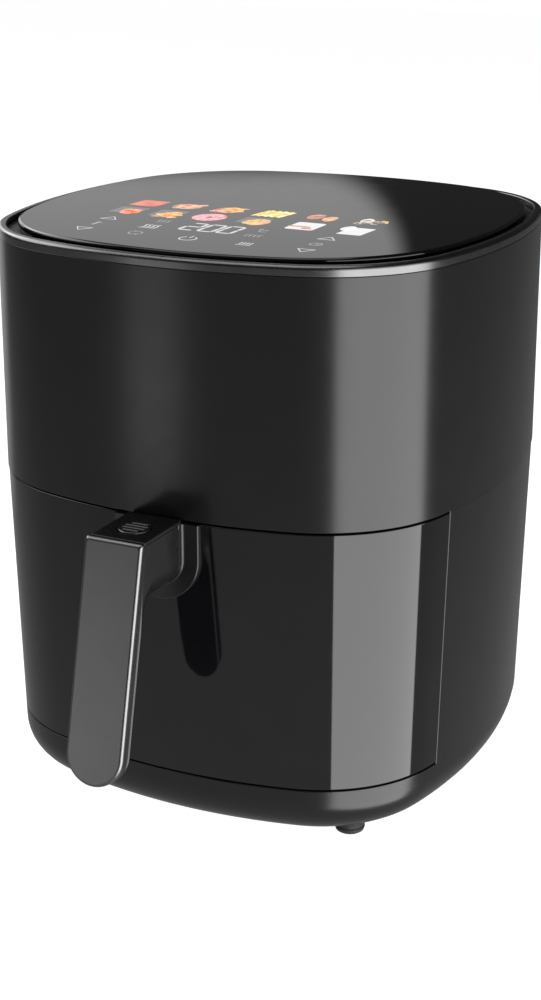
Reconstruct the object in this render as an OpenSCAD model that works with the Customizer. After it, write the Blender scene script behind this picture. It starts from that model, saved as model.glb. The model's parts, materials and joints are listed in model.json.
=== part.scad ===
// Digital drawer air fryer: square, round-cornered body with a glass touch top,
// a pull-out drawer with pan and basket, a release-button handle, and the
// heater, fan, motor and electronics in the head.
// Front is -Y, +Z is up, z = 0 is the surface that the feet stand on.

/* [Body] */
// Width and depth of the upper shell, flat to flat
body_w = 272; // [270:1:276]
// Overall height, to the top of the glass
body_h = 312; // [310:1:318]
// Height of the seam between the upper and the lower shell
seam_z = 178; // [178:0.5:179]
// Height of the line under the drawer front
drawer_line_z = 36; // [35.8:0.1:36.2]
// How far each side of the lower shell leans in for each millimetre of drop
side_taper = 0.026; // [0.02:0.002:0.03]
// Radius of the rounded bottom edge
bottom_round = 22; // [20:1:24]
// Wall thickness of the moulded shells
shell_wall = 3; // [2.4:0.2:3]

/* [Glass top] */
// Width and depth of the glass
glass_w = 256.8; // [250:0.2:258]
// Thickness of the glass
glass_t = 3.6; // [3:0.2:4]

/* [Drawer] */
// Outer width and depth of the pan
pan_w = 212; // [208:1:213]
// Outer width and depth of the basket
basket_w = 203; // [198:1:203]
// Sheet thickness of the pan and the basket
sheet_t = 1.2; // [1:0.1:1.4]
// Distance between the holes in the basket floor
hole_pitch = 18; // [16:1:24]
// Radius of the holes in the basket floor
hole_r = 4; // [3:0.5:5]

/* [Handle] */
// Width of the handle's front plate
handle_w = 31.6; // [28:0.2:32]
// Lean of the handle, from the vertical, in degrees
handle_lean = 13; // [10:1:14]
// Length of the handle's front plate
plate_len = 121.4; // [100:0.1:124]
// Thickness of the front plate
plate_t = 3.5; // [3:0.5:4]
// Thickness of the grip behind the plate
grip_t = 8; // [7:0.5:9]
// Travel of the release button
button_travel = 3.2; // [2:0.2:3.2]

/* [Heater and fan] */
// Radius of the element's tube
element_r = 3.25; // [3:0.05:3.5]
// Radius of the convection fan
fan_r = 66; // [55:1:68]
// Number of blades on the convection fan
fan_blades = 10; // [6:1:14]
// Radius of the cooling fan
cooling_fan_r = 46; // [35:1:50]
// Radius of the motor shaft
shaft_r = 3; // [2.5:0.25:3]

/* [Cord inlet] */
// Radius of the bore in the cord gland
gland_bore_r = 3.5; // [3:0.25:4]

/* [Hidden] */
$fn = 96;
cut = 1; // how far a cutter runs past the face that it cuts

half_w = body_w / 2;
// Both plan outlines are four bowed sides and four round corners that meet tangentially.
// Their centres sit on a 63-16-65 right triangle, scaled by these factors.
body_scale = 3.25;
glass_scale = 2.5;

foot_h = 7;
seam_gap = 0.4;
lower_top = seam_z - seam_gap;
round_z = foot_h + bottom_round;
drawer_cut_y = -63;      // the drawer front's side edges
drawer_gap = 0.8;
drawer_bottom = drawer_line_z + drawer_gap;
drawer_top = seam_z - 1;
front_wall = 3;
function lower_inset(z) = seam_gap + side_taper * (seam_z - z);

trim_bottom = body_h - 7;
trim_top = body_h - 1.8;
trim_wall = 3.2;
glass_bottom = body_h - glass_t;
frame_bottom = body_h - 12;

// Levels inside the body
chamber_floor = 40.5;
chamber_top = 173.8;
chamber_half = 113;
chamber_front = -59.2;
rail_top = 43.7;
pan_floor = 44;
pan_top = 172;
rim_w = 4;
pan_r = 45;
basket_floor = 55;
basket_top = 170;
dome_base = chamber_top + 1;
dome_top = 223;
dome_r = 97;
element_z = 190;
element_rings = [46, 62, 78];
terminal_angle = 8;
probe_angle = -50;
probe_z = 184;
bracket_screws = [for (x = [-1, 1], y = [-1, 1]) [x * 104.8, y * 14]];
bell_screws = [for (x = [-1, 1], y = [-1, 1]) [x * 16, y * 16]];
bracket_z = 234;
motor_z = 236;
tray_z = 268;
board_z = 273;

// Handle and its mechanism; y = 0 is the body's axis
arm_top = seam_z + 1.2;
under_top = seam_z - 1.2;
plate_r = handle_w / 2;
arm_r = plate_r - 0.8;
arm_round_z = 158.5;
collar_r = 24;
collar_front = -137.4;
collar_back = -129;
plate_front_y = -178.2;
arm_back = -111;
cover_t = 2.2;
button_y = -158;
button_r = 8;
button_half = 0.5;
post_y = -151.5;
cover_front = -172.5;
cover_step = -137.6;
latch_y = -130;
latch_z = 158;

foot_at = [86, 87];
foot_r = 8;
base_screw_at = [103, 60];
flange_points = [[127.5, 0], [-127.5, 0], [123.5, 52], [-123.5, 52], [40, 124.5], [-40, 124.5]];
flange_w = 13;

// Rear fittings
outlet_half = 50;
outlet_z = [200, 266];
outlet_back = 139;
gland_at = [64, 196];

// The body's axis lies this far behind the origin, so that the origin is under the middle
// of the whole outline, from the handle's foot to the air outlet.
plate_chamfer = 1;
handle_reach = -plate_front_y + (plate_len - plate_chamfer) * sin(handle_lean);
body_back = round(100 * (handle_reach - outlet_back) / 2) / 100;

module placed() {
    translate([0, body_back, 0]) children();
}

// Sweeps a 2D profile, drawn as [inset from the outline, height], around a plan outline.
module plan_sweep(half, k) {
    side_r = half + 47 * k;
    corner_r = half - 18 * k;
    for (turn = [0 : 90 : 270]) rotate(turn) {
        intersection() {
            translate([-47 * k, 0, 0]) rotate_extrude($fn = 360) profile_at(side_r) children();
            linear_extrude(body_h + 10)
                polygon([[0, 0], [16 * k, -16 * k], [79 * k, -32 * k], [79 * k, 32 * k],
                         [16 * k, 16 * k]]);
        }
        intersection() {
            translate([16 * k, 16 * k, 0]) rotate_extrude() profile_at(corner_r) children();
            linear_extrude(body_h + 10)
                polygon([[16 * k, 16 * k], [79 * k, 32 * k], [79 * k, 79 * k],
                         [32 * k, 79 * k]]);
        }
    }
}

module profile_at(r) {
    intersection() {
        translate([r, 0]) mirror([1, 0]) children();
        square([r, body_h + 20]);
    }
}

// A flat plate that fills the body's outline, set in by the given amount.
module plan_plate(inset, z0, z1) {
    plan_sweep(half_w, body_scale) translate([inset, z0]) square([2 * body_w, z1 - z0]);
}

module rounded_square(half_x, half_y, r) {
    square([2 * half_x, 2 * (half_y - r)], center = true);
    square([2 * (half_x - r), 2 * half_y], center = true);
    for (x = [-1, 1], y = [-1, 1]) translate([x * (half_x - r), y * (half_y - r)]) circle(r);
}

module box(x0, x1, y0, y1, z0, z1) {
    translate([x0, y0, z0]) cube([x1 - x0, y1 - y0, z1 - z0]);
}

// A cylinder that lies along Y from y0 to y1.
module bar_y(r, y0, y1, x, z) {
    translate([x, y0, z]) rotate([-90, 0, 0]) cylinder(r = r, h = y1 - y0);
}

// A cylinder that lies along X, centred on x = 0.
module bar_x(r, len, y, z) {
    translate([-len / 2, y, z]) rotate([0, 90, 0]) cylinder(r = r, h = len);
}

// An upright tube or, with no bore, an upright rod.
module tube(r, bore, z0, z1) {
    translate([0, 0, z0]) difference() {
        cylinder(r = r, h = z1 - z0);
        if (bore > 0) translate([0, 0, -cut]) cylinder(r = bore, h = z1 - z0 + 2 * cut);
    }
}

// An upright U: straight sides up to the top, a half-round bottom; it lies along Y.
module u_bar(r, y0, y1, top) {
    intersection() {
        union() {
            bar_y(r, y0, y1, 0, arm_round_z);
            box(-r, r, y0, y1, arm_round_z, top);
        }
        box(-r - cut, r + cut, y0, y1, 0, top);
    }
}

module screw(head_r, head_h, shank_r, length) {
    difference() {
        cylinder(r = head_r, h = head_h);
        for (turn = [0, 90]) rotate(turn)
            translate([-head_r * 0.6, -0.4, -cut]) cube([head_r * 1.2, 0.8, cut + head_h / 2]);
    }
    translate([0, 0, head_h]) cylinder(r = shank_r, h = length);
}

// ---- Housing ----

module upper_shell() color("#26262a") placed() difference() {
    union() {
        plan_sweep(half_w, body_scale) {
            translate([0, seam_z]) square([2.6, trim_bottom - seam_z]);
            translate([0, seam_z]) square([flange_w, 2.4]);
            translate([0, trim_bottom - 2.4]) square([6, 2.4]);
        }
        difference() {
            intersection() {
                plan_plate(2, seam_z, seam_z + 2.4);
                box(-half_w, half_w, -half_w, drawer_cut_y, seam_z, seam_z + 2.4);
            }
            translate([0, 0, seam_z - cut]) linear_extrude(5)
                rounded_square(chamber_half + 0.5, chamber_half + 0.5, 60);
        }
    }
    box(-outlet_half - 0.4, outlet_half + 0.4, 118, half_w + cut,
        outlet_z[0] - 0.4, outlet_z[1] + 0.4);
    bar_y(9.3, 110, half_w + cut, gland_at[0], gland_at[1]);
    for (p = flange_points)
        translate([p[0], p[1], seam_z - cut]) cylinder(r = 2.1, h = 2.4 + 2 * cut);
}

module lower_profile() {
    top = lower_inset(lower_top);
    low = lower_inset(round_z);
    polygon([[top, lower_top], [low, round_z], [low + shell_wall, round_z],
             [top + shell_wall, lower_top]]);
    translate([low + bottom_round, round_z]) intersection() {
        difference() {
            circle(bottom_round);
            circle(bottom_round - shell_wall);
        }
        translate([-bottom_round, -bottom_round]) square(bottom_round);
    }
    translate([low + bottom_round, foot_h]) square([8, shell_wall]);
    translate([top + shell_wall - 0.2, seam_z - 3.4]) square([9.2, 3.4]);
}

module lower_shell() color("#202023") placed() difference() {
    plan_sweep(half_w, body_scale) lower_profile();
    box(-half_w, half_w, -half_w, drawer_cut_y, drawer_line_z, seam_z + cut);
    for (p = flange_points)
        translate([p[0], p[1], seam_z - 4]) cylinder(r = 1.7, h = 5);
    for (x = [-1, 1], y = [-1, 1]) {
        translate([x * foot_at[0], y * foot_at[1], foot_h - cut]) cylinder(r = 3, h = 5);
        translate([x * base_screw_at[0], y * base_screw_at[1], foot_h - cut])
            cylinder(r = 1.9, h = 5);
    }
}

// Vented plate that closes the bottom; it lies on the lower shell's turned-in edge.
module base_cover() color("#1c1c1e") placed() difference() {
    plan_plate(28.6, foot_h + shell_wall, foot_h + shell_wall + 2);
    for (row = [-4 : 4], side = [-1, 1])
        translate([side * 30 - 20, row * 14 - 1.75, foot_h]) cube([40, 3.5, 8]);
    for (x = [-1, 1], y = [-1, 1]) {
        translate([x * foot_at[0], y * foot_at[1], foot_h]) cylinder(r = 3, h = 8);
        translate([x * base_screw_at[0], y * base_screw_at[1], foot_h]) cylinder(r = 1.6, h = 8);
    }
}

module rubber_feet() color("#141414") placed()
    for (x = [-1, 1], y = [-1, 1]) translate([x * foot_at[0], y * foot_at[1], 0]) {
        rotate_extrude() polygon([[0, 0], [foot_r - 1.2, 0], [foot_r, 1.2], [foot_r, foot_h],
                                  [0, foot_h]]);
        cylinder(r = 2.9, h = foot_h + shell_wall + 2);
    }

module trim_ring() color("#55565a") placed() plan_sweep(half_w, body_scale)
    polygon([[0, trim_bottom], [0, trim_top - 1.6], [1.4, trim_top], [trim_wall, trim_top],
             [trim_wall, trim_bottom]]);

// Black carrier under the glass, with the window for the display.
module top_frame() color("#101012") placed() difference() {
    union() {
        plan_sweep(half_w, body_scale) {
            translate([trim_wall + 0.2, trim_bottom]) square([flange_w, 1.6]);
            translate([6.4, frame_bottom]) square([flange_w - 3, trim_bottom - frame_bottom]);
        }
        plan_sweep(glass_w / 2, glass_scale)
            translate([1.2, frame_bottom]) square([2 * body_w, glass_bottom - frame_bottom]);
    }
    box(-86, 86, -112, -8, frame_bottom - cut, body_h);
    box(-90, 90, 20, 100, frame_bottom - cut, glass_bottom - 3);
}

module glass_top() color("#0c0c0e") placed() plan_sweep(glass_w / 2, glass_scale) {
    translate([0, glass_bottom]) square([2 * body_w, glass_t - 1.6]);
    translate([1.6, body_h - 1.6]) circle(1.6);
    translate([1.6, glass_bottom]) square([2 * body_w, glass_t]);
}

module display_module() color("#22262c") placed() {
    box(-84, 84, -110, -10, frame_bottom + 1.6, glass_bottom - 0.4);
    box(-70, 70, -104, -16, frame_bottom, frame_bottom + 1.6);
}

module display_board() color("#1f5b34") placed()
    box(-84, 84, -110, -10, frame_bottom - 1.6, frame_bottom);

// Louvred outlet for the hot air, set into the rear of the upper shell.
module air_outlet() color("#1c1c1e") placed() {
    difference() {
        box(-outlet_half, outlet_half, 126, outlet_back, outlet_z[0], outlet_z[1]);
        box(4 - outlet_half, outlet_half - 4, 125, outlet_back + cut,
            outlet_z[0] + 4, outlet_z[1] - 4);
    }
    for (row = [0 : 6])
        translate([0, 133.5, outlet_z[0] + 8.5 + row * 8.2]) rotate([35, 0, 0])
            cube([2 * outlet_half - 7, 8, 1.6], center = true);
    for (x = [-23, 0, 23]) box(x - 1, x + 1, 128, 131, outlet_z[0] + 3, outlet_z[1] - 3);
}

module cord_gland() color("#141414") placed() difference() {
    union() {
        bar_y(9, 121, 132.6, gland_at[0], gland_at[1]);
        bar_y(11, 118.6, 121, gland_at[0], gland_at[1]);
        translate([gland_at[0], 132.6, gland_at[1]]) rotate([-90, 0, 0]) rotate_extrude()
            polygon([[0, 0], [7.4, 0], [6, 5.4], [0, 5.4]]);
    }
    bar_y(gland_bore_r, 110, 142, gland_at[0], gland_at[1]);
}

// Frame around the drawer opening, with the sill under the drawer.
module opening_frame() color("#18181a") placed() {
    clear = shell_wall + 0.3;
    difference() {
        intersection() {
            plan_sweep(half_w, body_scale)
                polygon([[lower_inset(chamber_top) + clear, chamber_top],
                         [lower_inset(32) + clear, 32], [body_w * 2, 32],
                         [body_w * 2, chamber_top]]);
            box(-half_w, half_w, drawer_cut_y + 0.6, chamber_front - 0.2, 32, chamber_top);
        }
        box(-chamber_half + 0.6, chamber_half - 0.6, -70, 0, chamber_floor + 1, chamber_top - 1);
    }
    intersection() {
        plan_sweep(half_w, body_scale)
            polygon([[lower_inset(32) + clear, 32.4], [lower_inset(32) + clear, 35.4],
                     [body_w * 2, 35.4], [body_w * 2, 32.4]]);
        box(-half_w, half_w, -half_w, drawer_cut_y + 0.6, 32, 36);
    }
}

// ---- Cooking chamber ----

module chamber_plan(half, r) {
    intersection() {
        rounded_square(half, half, r);
        translate([-half, chamber_front]) square([2 * half, 2 * half]);
    }
}

module chamber_liner() color("#a7a9ac") placed() difference() {
    translate([0, 0, chamber_floor]) linear_extrude(chamber_top - chamber_floor)
        chamber_plan(chamber_half, 52);
    translate([0, 0, chamber_floor + 1]) linear_extrude(chamber_top) union() {
        chamber_plan(chamber_half - 1, 51);
        translate([-chamber_half + 1, chamber_front - cut]) square([2 * chamber_half - 2, 5]);
    }
    box(-5, 5, 100, 120, 146, chamber_top + cut);
}

module slide_rails() color("#303033") placed() for (x = [-66, 66])
    box(x - 6, x + 6, -55, 80, chamber_floor + 1, rail_top);

module ceiling_plate() color("#a7a9ac") placed() translate([0, 0, chamber_top])
    linear_extrude(1) difference() {
        intersection() {
            rounded_square(chamber_half, chamber_half, 60);
            translate([-chamber_half, -108.5]) square(2 * chamber_half);
        }
        circle(dome_r, $fn = 180);
        for (p = bracket_screws) translate(p) circle(1.8);
    }

module terminals() {
    for (side = [-1, 1]) rotate(90 + side * terminal_angle)
        translate([element_rings[2], 0, 0]) children();
}

module reflector_dome() color("#c9cbce") placed() difference() {
    rotate_extrude($fn = 180)
        polygon([[dome_r + 0.4, dome_base], [109, dome_base], [109, dome_base + 1],
                 [dome_r + 1.4, dome_base + 1], [91.6, dome_top], [5, dome_top],
                 [5, dome_top - 1], [90.6, dome_top - 1]]);
    terminals() translate([0, 0, dome_top - 5]) cylinder(r = 4.5, h = 10);
    rotate(probe_angle) translate([80, 0, probe_z]) rotate([0, 90, 0]) cylinder(r = 2.6, h = 30);
    for (p = bracket_screws) translate([p[0], p[1], dome_base - cut]) cylinder(r = 1.8, h = 4);
}

module heating_element() color("#6d6a66") placed() {
    for (r = element_rings) translate([0, 0, element_z]) rotate_extrude($fn = 180)
        translate([r, 0]) circle(element_r, $fn = 32);
    for (turn = [30, 210]) rotate(turn) translate([element_rings[0], 0, element_z])
        rotate([0, 90, 0]) cylinder(r = 1.6, h = element_rings[2] - element_rings[0]);
    terminals() translate([0, 0, element_z]) cylinder(r = 2.4, h = bracket_z + 6 - element_z);
}

// Ceramic sleeves that hold the element's ends in the dome.
module element_bushings() color("#e8e4da") placed() terminals()
    difference() {
        union() {
            translate([0, 0, dome_top - 4]) cylinder(r = 4.4, h = 10);
            translate([0, 0, dome_top]) cylinder(r = 6, h = 3);
        }
        translate([0, 0, dome_top - 10]) cylinder(r = 2.4, h = 30);
    }

module element_guard() color("#8f9194") placed() {
    for (r = [24, 48, 72, 95]) translate([0, 0, 178.6]) rotate_extrude($fn = 120)
        translate([r, 0]) circle(1.2, $fn = 24);
    for (turn = [0 : 60 : 300]) rotate(turn) translate([22, 0, 180.4]) rotate([0, 90, 0])
        cylinder(r = 1, h = 73.5);
    for (turn = [30 : 120 : 270]) rotate(turn) box(94.4, 96.6, -4, 4, 176.6, 178.2);
}

module temperature_probe() color("#c9cbce") placed()
    rotate(probe_angle) translate([0, 0, probe_z]) rotate([0, 90, 0]) {
        translate([0, 0, 84]) cylinder(r = 2.5, h = 16);
        translate([0, 0, 100]) cylinder(r = 3.6, h = 3);
    }

module thermal_cutoff() color("#c2b59b") placed() translate([-50, 50, dome_top]) {
    cylinder(r = 9, h = 4);
    translate([0, 0, 4]) cylinder(r = 7, h = 4);
    for (x = [-4, 4]) translate([x - 1.6, -0.4, 8]) cube([3.2, 0.8, 7]);
}

// ---- Motor and fans ----

module motor_bracket() color("#a7a9ac") placed() difference() {
    union() {
        box(-102, 102, -22, 22, bracket_z, bracket_z + 2);
        for (side = [-1, 1]) {
            box(min(side * 100, side * 102), max(side * 100, side * 102), -22, 22,
                dome_base + 1, bracket_z + 2);
            box(min(side * 100, side * 107.8), max(side * 100, side * 107.8), -22, 22,
                dome_base + 1, dome_base + 3);
        }
    }
    translate([0, 0, bracket_z - cut]) cylinder(r = 12, h = 5);
    for (x = [-1, 1]) translate([x * 65, 0, bracket_z - cut]) cylinder(r = 12, h = 5);
    for (p = bracket_screws) translate([p[0], p[1], dome_base]) cylinder(r = 1.8, h = 6);
    for (p = bell_screws) translate([p[0], p[1], bracket_z - cut]) cylinder(r = 1.6, h = 5);
}

module motor_stator() color("#3b3b40") placed() {
    difference() {
        tube(28, 15.2, motor_z + 4, motor_z + 20);
        for (p = bell_screws) translate([p[0], p[1], motor_z]) cylinder(r = 1.6, h = 30);
    }
    difference() {
        union() for (side = [-1, 1]) box(min(side * 27.6, side * 35), max(side * 27.6, side * 35),
                                        -9, 9, motor_z + 6, motor_z + 18);
        tube(27.8, 0, motor_z + 5, motor_z + 19);
    }
}

module motor_end_bells() color("#b6b8bb") placed() difference() {
    for (z = [motor_z, motor_z + 20]) tube(27, 7, z, z + 4);
    for (p = bell_screws) translate([p[0], p[1], motor_z - cut]) cylinder(r = 1.6, h = 30);
}

module motor_bearings() color("#d8d9db") placed()
    for (z = [motor_z, motor_z + 20]) tube(7, shaft_r + 0.04, z, z + 4);

module motor_rotor() color("#8a7b66") placed() tube(14.6, shaft_r, motor_z + 5, motor_z + 19);

module motor_shaft() color("#d8d9db") placed() tube(shaft_r, 0, 197, motor_z + 28);

module blades(count, r0, r1, z0, z1, sweep) {
    for (i = [0 : count - 1]) rotate(i * 360 / count) translate([r0, 0, z0]) rotate(sweep)
        translate([0, -0.6, 0]) cube([r1 - r0, 1.2, z1 - z0]);
}

module convection_fan() color("#b9bbbe") placed() difference() {
    union() {
        tube(fan_r, 0, 214, 215);
        tube(10, 0, 204, 214.5);
        intersection() {
            blades(fan_blades, 26, fan_r + 4, 203, 214.5, 18);
            tube(fan_r, 0, 202, 216);
        }
    }
    translate([0, 0, 200]) cylinder(r = shaft_r, h = 20);
    for (turn = [0 : 72 : 288]) rotate(turn) translate([18, 0, 210]) cylinder(r = 4, h = 8);
}

module fan_nut() color("#d8d9db") placed() difference() {
    translate([0, 0, 199]) cylinder(r = 6, h = 5, $fn = 6);
    translate([0, 0, 198]) cylinder(r = shaft_r, h = 8);
}

module cooling_fan() color("#3a3a3e") placed() difference() {
    union() {
        tube(cooling_fan_r, 0, 225.4, 226.4);
        tube(9, 0, 225.4, 232);
        intersection() {
            blades(9, 14, cooling_fan_r + 4, 226, 232, 24);
            tube(cooling_fan_r, 0, 225, 233);
        }
    }
    translate([0, 0, 220]) cylinder(r = shaft_r, h = 20);
}

// ---- Electronics ----

post_at = [101, 57];

module electronics_tray() color("#2c2c30") placed() {
    difference() {
        union() {
            translate([0, 0, tray_z]) linear_extrude(2) rounded_square(108, 92, 40);
            for (x = [-50, 50], y = [-10, 70])
                translate([x, y, tray_z + 2]) tube(3.4, 1.3, 0, board_z - tray_z - 2);
        }
        for (x = [-30, 30]) translate([x, -60, tray_z - cut]) cylinder(r = 14, h = 5);
    }
    for (x = [-1, 1], y = [-1, 1])
        translate([x * post_at[0], y * post_at[1], chamber_top + 1])
            cylinder(r = 5, h = tray_z - chamber_top);
}

module power_board() color("#1f5b34") placed() difference() {
    box(-60, 60, -20, 80, board_z, board_z + 1.6);
    for (x = [-50, 50], y = [-10, 70]) translate([x, y, board_z - cut]) cylinder(r = 1.7, h = 4);
}

module board_parts() color("#4a4d52") placed() {
    top = board_z + 1.6;
    box(-44, -20, 40, 64, top, top + 17);
    box(-10, 8, 44, 60, top, top + 15);
    box(20, 42, 30, 32, top, top + 16);
    for (i = [0 : 4]) box(20 + i * 5, 21.2 + i * 5, 32, 38, top, top + 16);
    for (p = [[-36, 14], [-20, 14], [14, 4]]) translate([p[0], p[1], top]) cylinder(r = 6, h = 15);
    box(30, 44, -4, 16, top, top + 9);
}

// ---- Drawer switch ----

lever_pivot = [119.5, 151];

module drawer_switch() color("#2a2f45") placed() difference() {
    union() {
        box(-10, 10, 121.8, 128, 140, 156);
        for (side = [-1, 1]) box(min(side * 4.4, side * 8), max(side * 4.4, side * 8),
                                 117, 121.8, 147, 155);
        bar_x(1.2, 12, lever_pivot[0], lever_pivot[1]);
    }
}

// Lever that the back of the pan holds in while the drawer is shut.
module switch_lever() color("#d8d9db") placed() difference() {
    union() {
        bar_x(2.2, 8, lever_pivot[0], lever_pivot[1]);
        box(-3, 3, 117.4, 118.6, lever_pivot[1], 171.4);
        box(-3, 3, 110.4, 118.6, 170.4, 171.6);
    }
    bar_x(1.25, 20, lever_pivot[0], lever_pivot[1]);
}

// ---- Drawer ----

module drawer_side(z0, z1, inset) {
    intersection() {
        plan_sweep(half_w, body_scale)
            polygon([[lower_inset(z1) + inset, z1], [lower_inset(z0) + inset, z0],
                     [body_w * 2, z0], [body_w * 2, z1]]);
        box(-half_w, half_w, -half_w, drawer_cut_y - 0.5, z0 - cut, z1 + cut);
    }
}

// Gloss outer skin; it wraps round both front corners.
module drawer_front() color("#0e0e10") placed() difference() {
    intersection() {
        plan_sweep(half_w, body_scale)
            polygon([[lower_inset(drawer_top), drawer_top],
                     [lower_inset(drawer_bottom), drawer_bottom],
                     [lower_inset(drawer_bottom) + front_wall, drawer_bottom],
                     [lower_inset(drawer_top) + front_wall, drawer_top]]);
        box(-half_w, half_w, -half_w, drawer_cut_y - 0.5, 30, seam_z);
    }
    u_bar(collar_r, -half_w - cut, -120, seam_z);
}

// Inner moulding that carries the pan behind the skin.
module drawer_frame() color("#18181a") placed() difference() {
    union() {
        drawer_side(171.2, 173.4, front_wall + 0.05);
        drawer_side(38, 40.5, front_wall + 0.05);
        intersection() {
            drawer_side(40, 172, front_wall + 0.05);
            box(-half_w, half_w, drawer_cut_y - 3.5, drawer_cut_y, 40, 172);
        }
    }
    translate([0, 0, 40.5]) linear_extrude(130.8)
        rounded_square(pan_w / 2 + 0.8, pan_w / 2 + 0.8, pan_r + 0.8);
    translate([0, 0, 170]) linear_extrude(10)
        rounded_square(pan_w / 2 + rim_w + 0.2, pan_w / 2 + rim_w + 0.2, pan_r + rim_w + 0.2);
    u_bar(collar_r + 0.1, -half_w - cut, -100, seam_z);
}

// Collar that receives the handle's arm, with the keeper for the latch.
module handle_collar() color("#1a1a1c") placed() {
    difference() {
        union() {
            u_bar(collar_r - 0.05, collar_front + 0.8, collar_back, drawer_top);
            u_bar(collar_r - 0.8, collar_front, collar_front + 1, drawer_top - 0.6);
        }
        u_bar(arm_r + 0.15, collar_front - cut, collar_back + cut, seam_z);
    }
    box(-3, 3, -137.2, -135.6, arm_round_z - arm_r - 1, 150);
    box(-3, 3, -135.6, -132.2, 147.6, 150);
}

module pan() color("#2b2b2d") placed() difference() {
    union() {
        translate([0, 0, pan_floor]) linear_extrude(pan_top - pan_floor)
            rounded_square(pan_w / 2, pan_w / 2, pan_r);
        translate([0, 0, pan_top - sheet_t]) linear_extrude(sheet_t)
            rounded_square(pan_w / 2 + rim_w, pan_w / 2 + rim_w, pan_r + rim_w);
    }
    translate([0, 0, pan_floor + sheet_t]) linear_extrude(pan_top)
        rounded_square(pan_w / 2 - sheet_t, pan_w / 2 - sheet_t, pan_r - sheet_t);
    u_bar(arm_r + 2, -120, -90, pan_top + cut);
}

module basket() color("#343436") placed() {
    r = pan_r - (pan_w - basket_w) / 2;
    difference() {
        translate([0, 0, basket_floor]) linear_extrude(basket_top - basket_floor)
            rounded_square(basket_w / 2, basket_w / 2, r);
        translate([0, 0, basket_floor + sheet_t]) linear_extrude(basket_top)
            rounded_square(basket_w / 2 - sheet_t, basket_w / 2 - sheet_t, r - sheet_t);
        count = floor((basket_w / 2 - 14) / hole_pitch);
        translate([0, 0, basket_floor - cut]) linear_extrude(sheet_t + 2 * cut)
            for (i = [-count : count], j = [-count : count])
                if (abs(i) + abs(j) < 2 * count - 1)
                    translate([i * hole_pitch, j * hole_pitch]) circle(hole_r, $fn = 32);
    }
}

// Silicone feet under the basket, which rest on the pan's floor.
module basket_bumpers() color("#6b6b6e") placed()
    for (x = [-1, 1], y = [-1, 1]) translate([x * 81, y * 63, 0])
        tube(6, 0, pan_floor + sheet_t, basket_floor);

// Steel bracket that joins the basket to the handle's arm, over the pan's notch.
module basket_bracket() color("#b9bbbe") placed() difference() {
    union() {
        box(-12, 12, arm_back, arm_back + 1.5, 148, 169.5);
        box(-12, 12, arm_back, -basket_w / 2, 168, 169.5);
        box(-12, 12, -basket_w / 2 - 1.5, -basket_w / 2, 148, 169.5);
    }
    for (z = [152, 162]) bar_y(1.6, -115, -100, 0, z);
}

// ---- Handle ----

// Children drawn here lean with the handle: y = 0 is the plate's front, z = 0 its top.
module leaning() {
    translate([0, plate_front_y, arm_top]) rotate([-handle_lean, 0, 0]) children();
}

module leaning_slab(half, y0, y1) {
    leaning() {
        bar_y(half, y0, y1, 0, -plate_len + plate_r);
        box(-half, half, y0, y1, -plate_len + plate_r, 6);
    }
}

module above(z) {
    box(-60, 60, -220, 0, z, z + 60);
}

module handle_grip() color("#161618") placed() {
    floor_z = arm_round_z - arm_r + 3;
    difference() {
        union() {
            u_bar(arm_r, -175.3, cover_step - 3.4, arm_top - cover_t);
            u_bar(arm_r, -175.3, arm_back, under_top - cover_t);
            leaning_slab(arm_r, plate_t, plate_t + grip_t);
            difference() {
                box(-arm_r + 1.4, arm_r - 1.4, -180.5, -164.5, 129.5, 160);
                bar_x(15, 40, -162.5, 129.5);
            }
        }
        leaning() box(-20, 20, -10, plate_t, -60, 10);
        above(arm_top);
        box(-20, 20, cover_front, -114, arm_top - cover_t, arm_top + cut);
        difference() {
            u_bar(arm_r - 2.8, -169.5, -114, arm_top - cover_t);
            box(-arm_r, arm_r, post_y - 9, post_y + 9, 162, 163.5);
        }
        translate([0, post_y, 160]) cylinder(r = 3.5, h = 6);
        box(-3.6, 3.6, -138.4, -125, 140, floor_z + 1);
        bar_x(1.5, 40, latch_y, latch_z);
        for (z = [152, 162]) bar_y(1.3, -116, -108, 0, z);
        for (z = [-40, -90]) leaning() bar_y(1.4, plate_t - cut, plate_t + 6, 0, z);
    }
}

module handle_plate() color("#6c6e72") placed() difference() {
    union() {
        leaning_slab(plate_r - plate_chamfer, 0, plate_chamfer);
        leaning_slab(plate_r, plate_chamfer, plate_t);
    }
    above(arm_top);
}

// Its rear end steps down, so that it passes under the upper shell.
module arm_cover() color("#1c1c1e") placed() difference() {
    union() {
        box(-arm_r, arm_r, cover_front, cover_step, arm_top - cover_t, arm_top);
        box(-arm_r, arm_r, cover_step - 3, cover_step, under_top - cover_t, arm_top);
        box(-arm_r, arm_r, cover_step - 3, -131, under_top - cover_t, under_top);
    }
    button_plan(button_r + 0.3, arm_top - 4, arm_top + cut);
}

module button_plan(r, z0, z1) {
    for (side = [-1, 1]) translate([0, button_y + side * button_half, z0]) cylinder(r = r, h = z1 - z0);
    box(-r, r, button_y - button_half, button_y + button_half, z0, z1);
}

// The post's tip is tapered, so that it stays on top of the latch lever as the lever turns away.
module release_button() color("#242427") placed() difference() {
    union() {
        button_plan(button_r, 173, arm_top + 0.6);
        button_plan(button_r + 1.2, 172, arm_top - cover_t - 0.1);
        translate([0, post_y, latch_z + 2.4])
            rotate_extrude() polygon([[0, 0], [1.2, 0], [3, 2], [3, 12], [0, 12]]);
    }
    for (y = [-3.6, 0, 3.6])
        box(-5, 5, button_y + y - 0.9, button_y + y + 0.9, arm_top - 0.6, arm_top + 2);
}

// Drawn at its pressed length, so that the button's travel stays free.
module button_spring() color("#d8d9db") placed()
    for (i = [0 : 3]) translate([0, post_y, 164.05 + i * 1.2]) rotate_extrude($fn = 48)
        translate([4.6, 0]) circle(0.5, $fn = 24);

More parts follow.
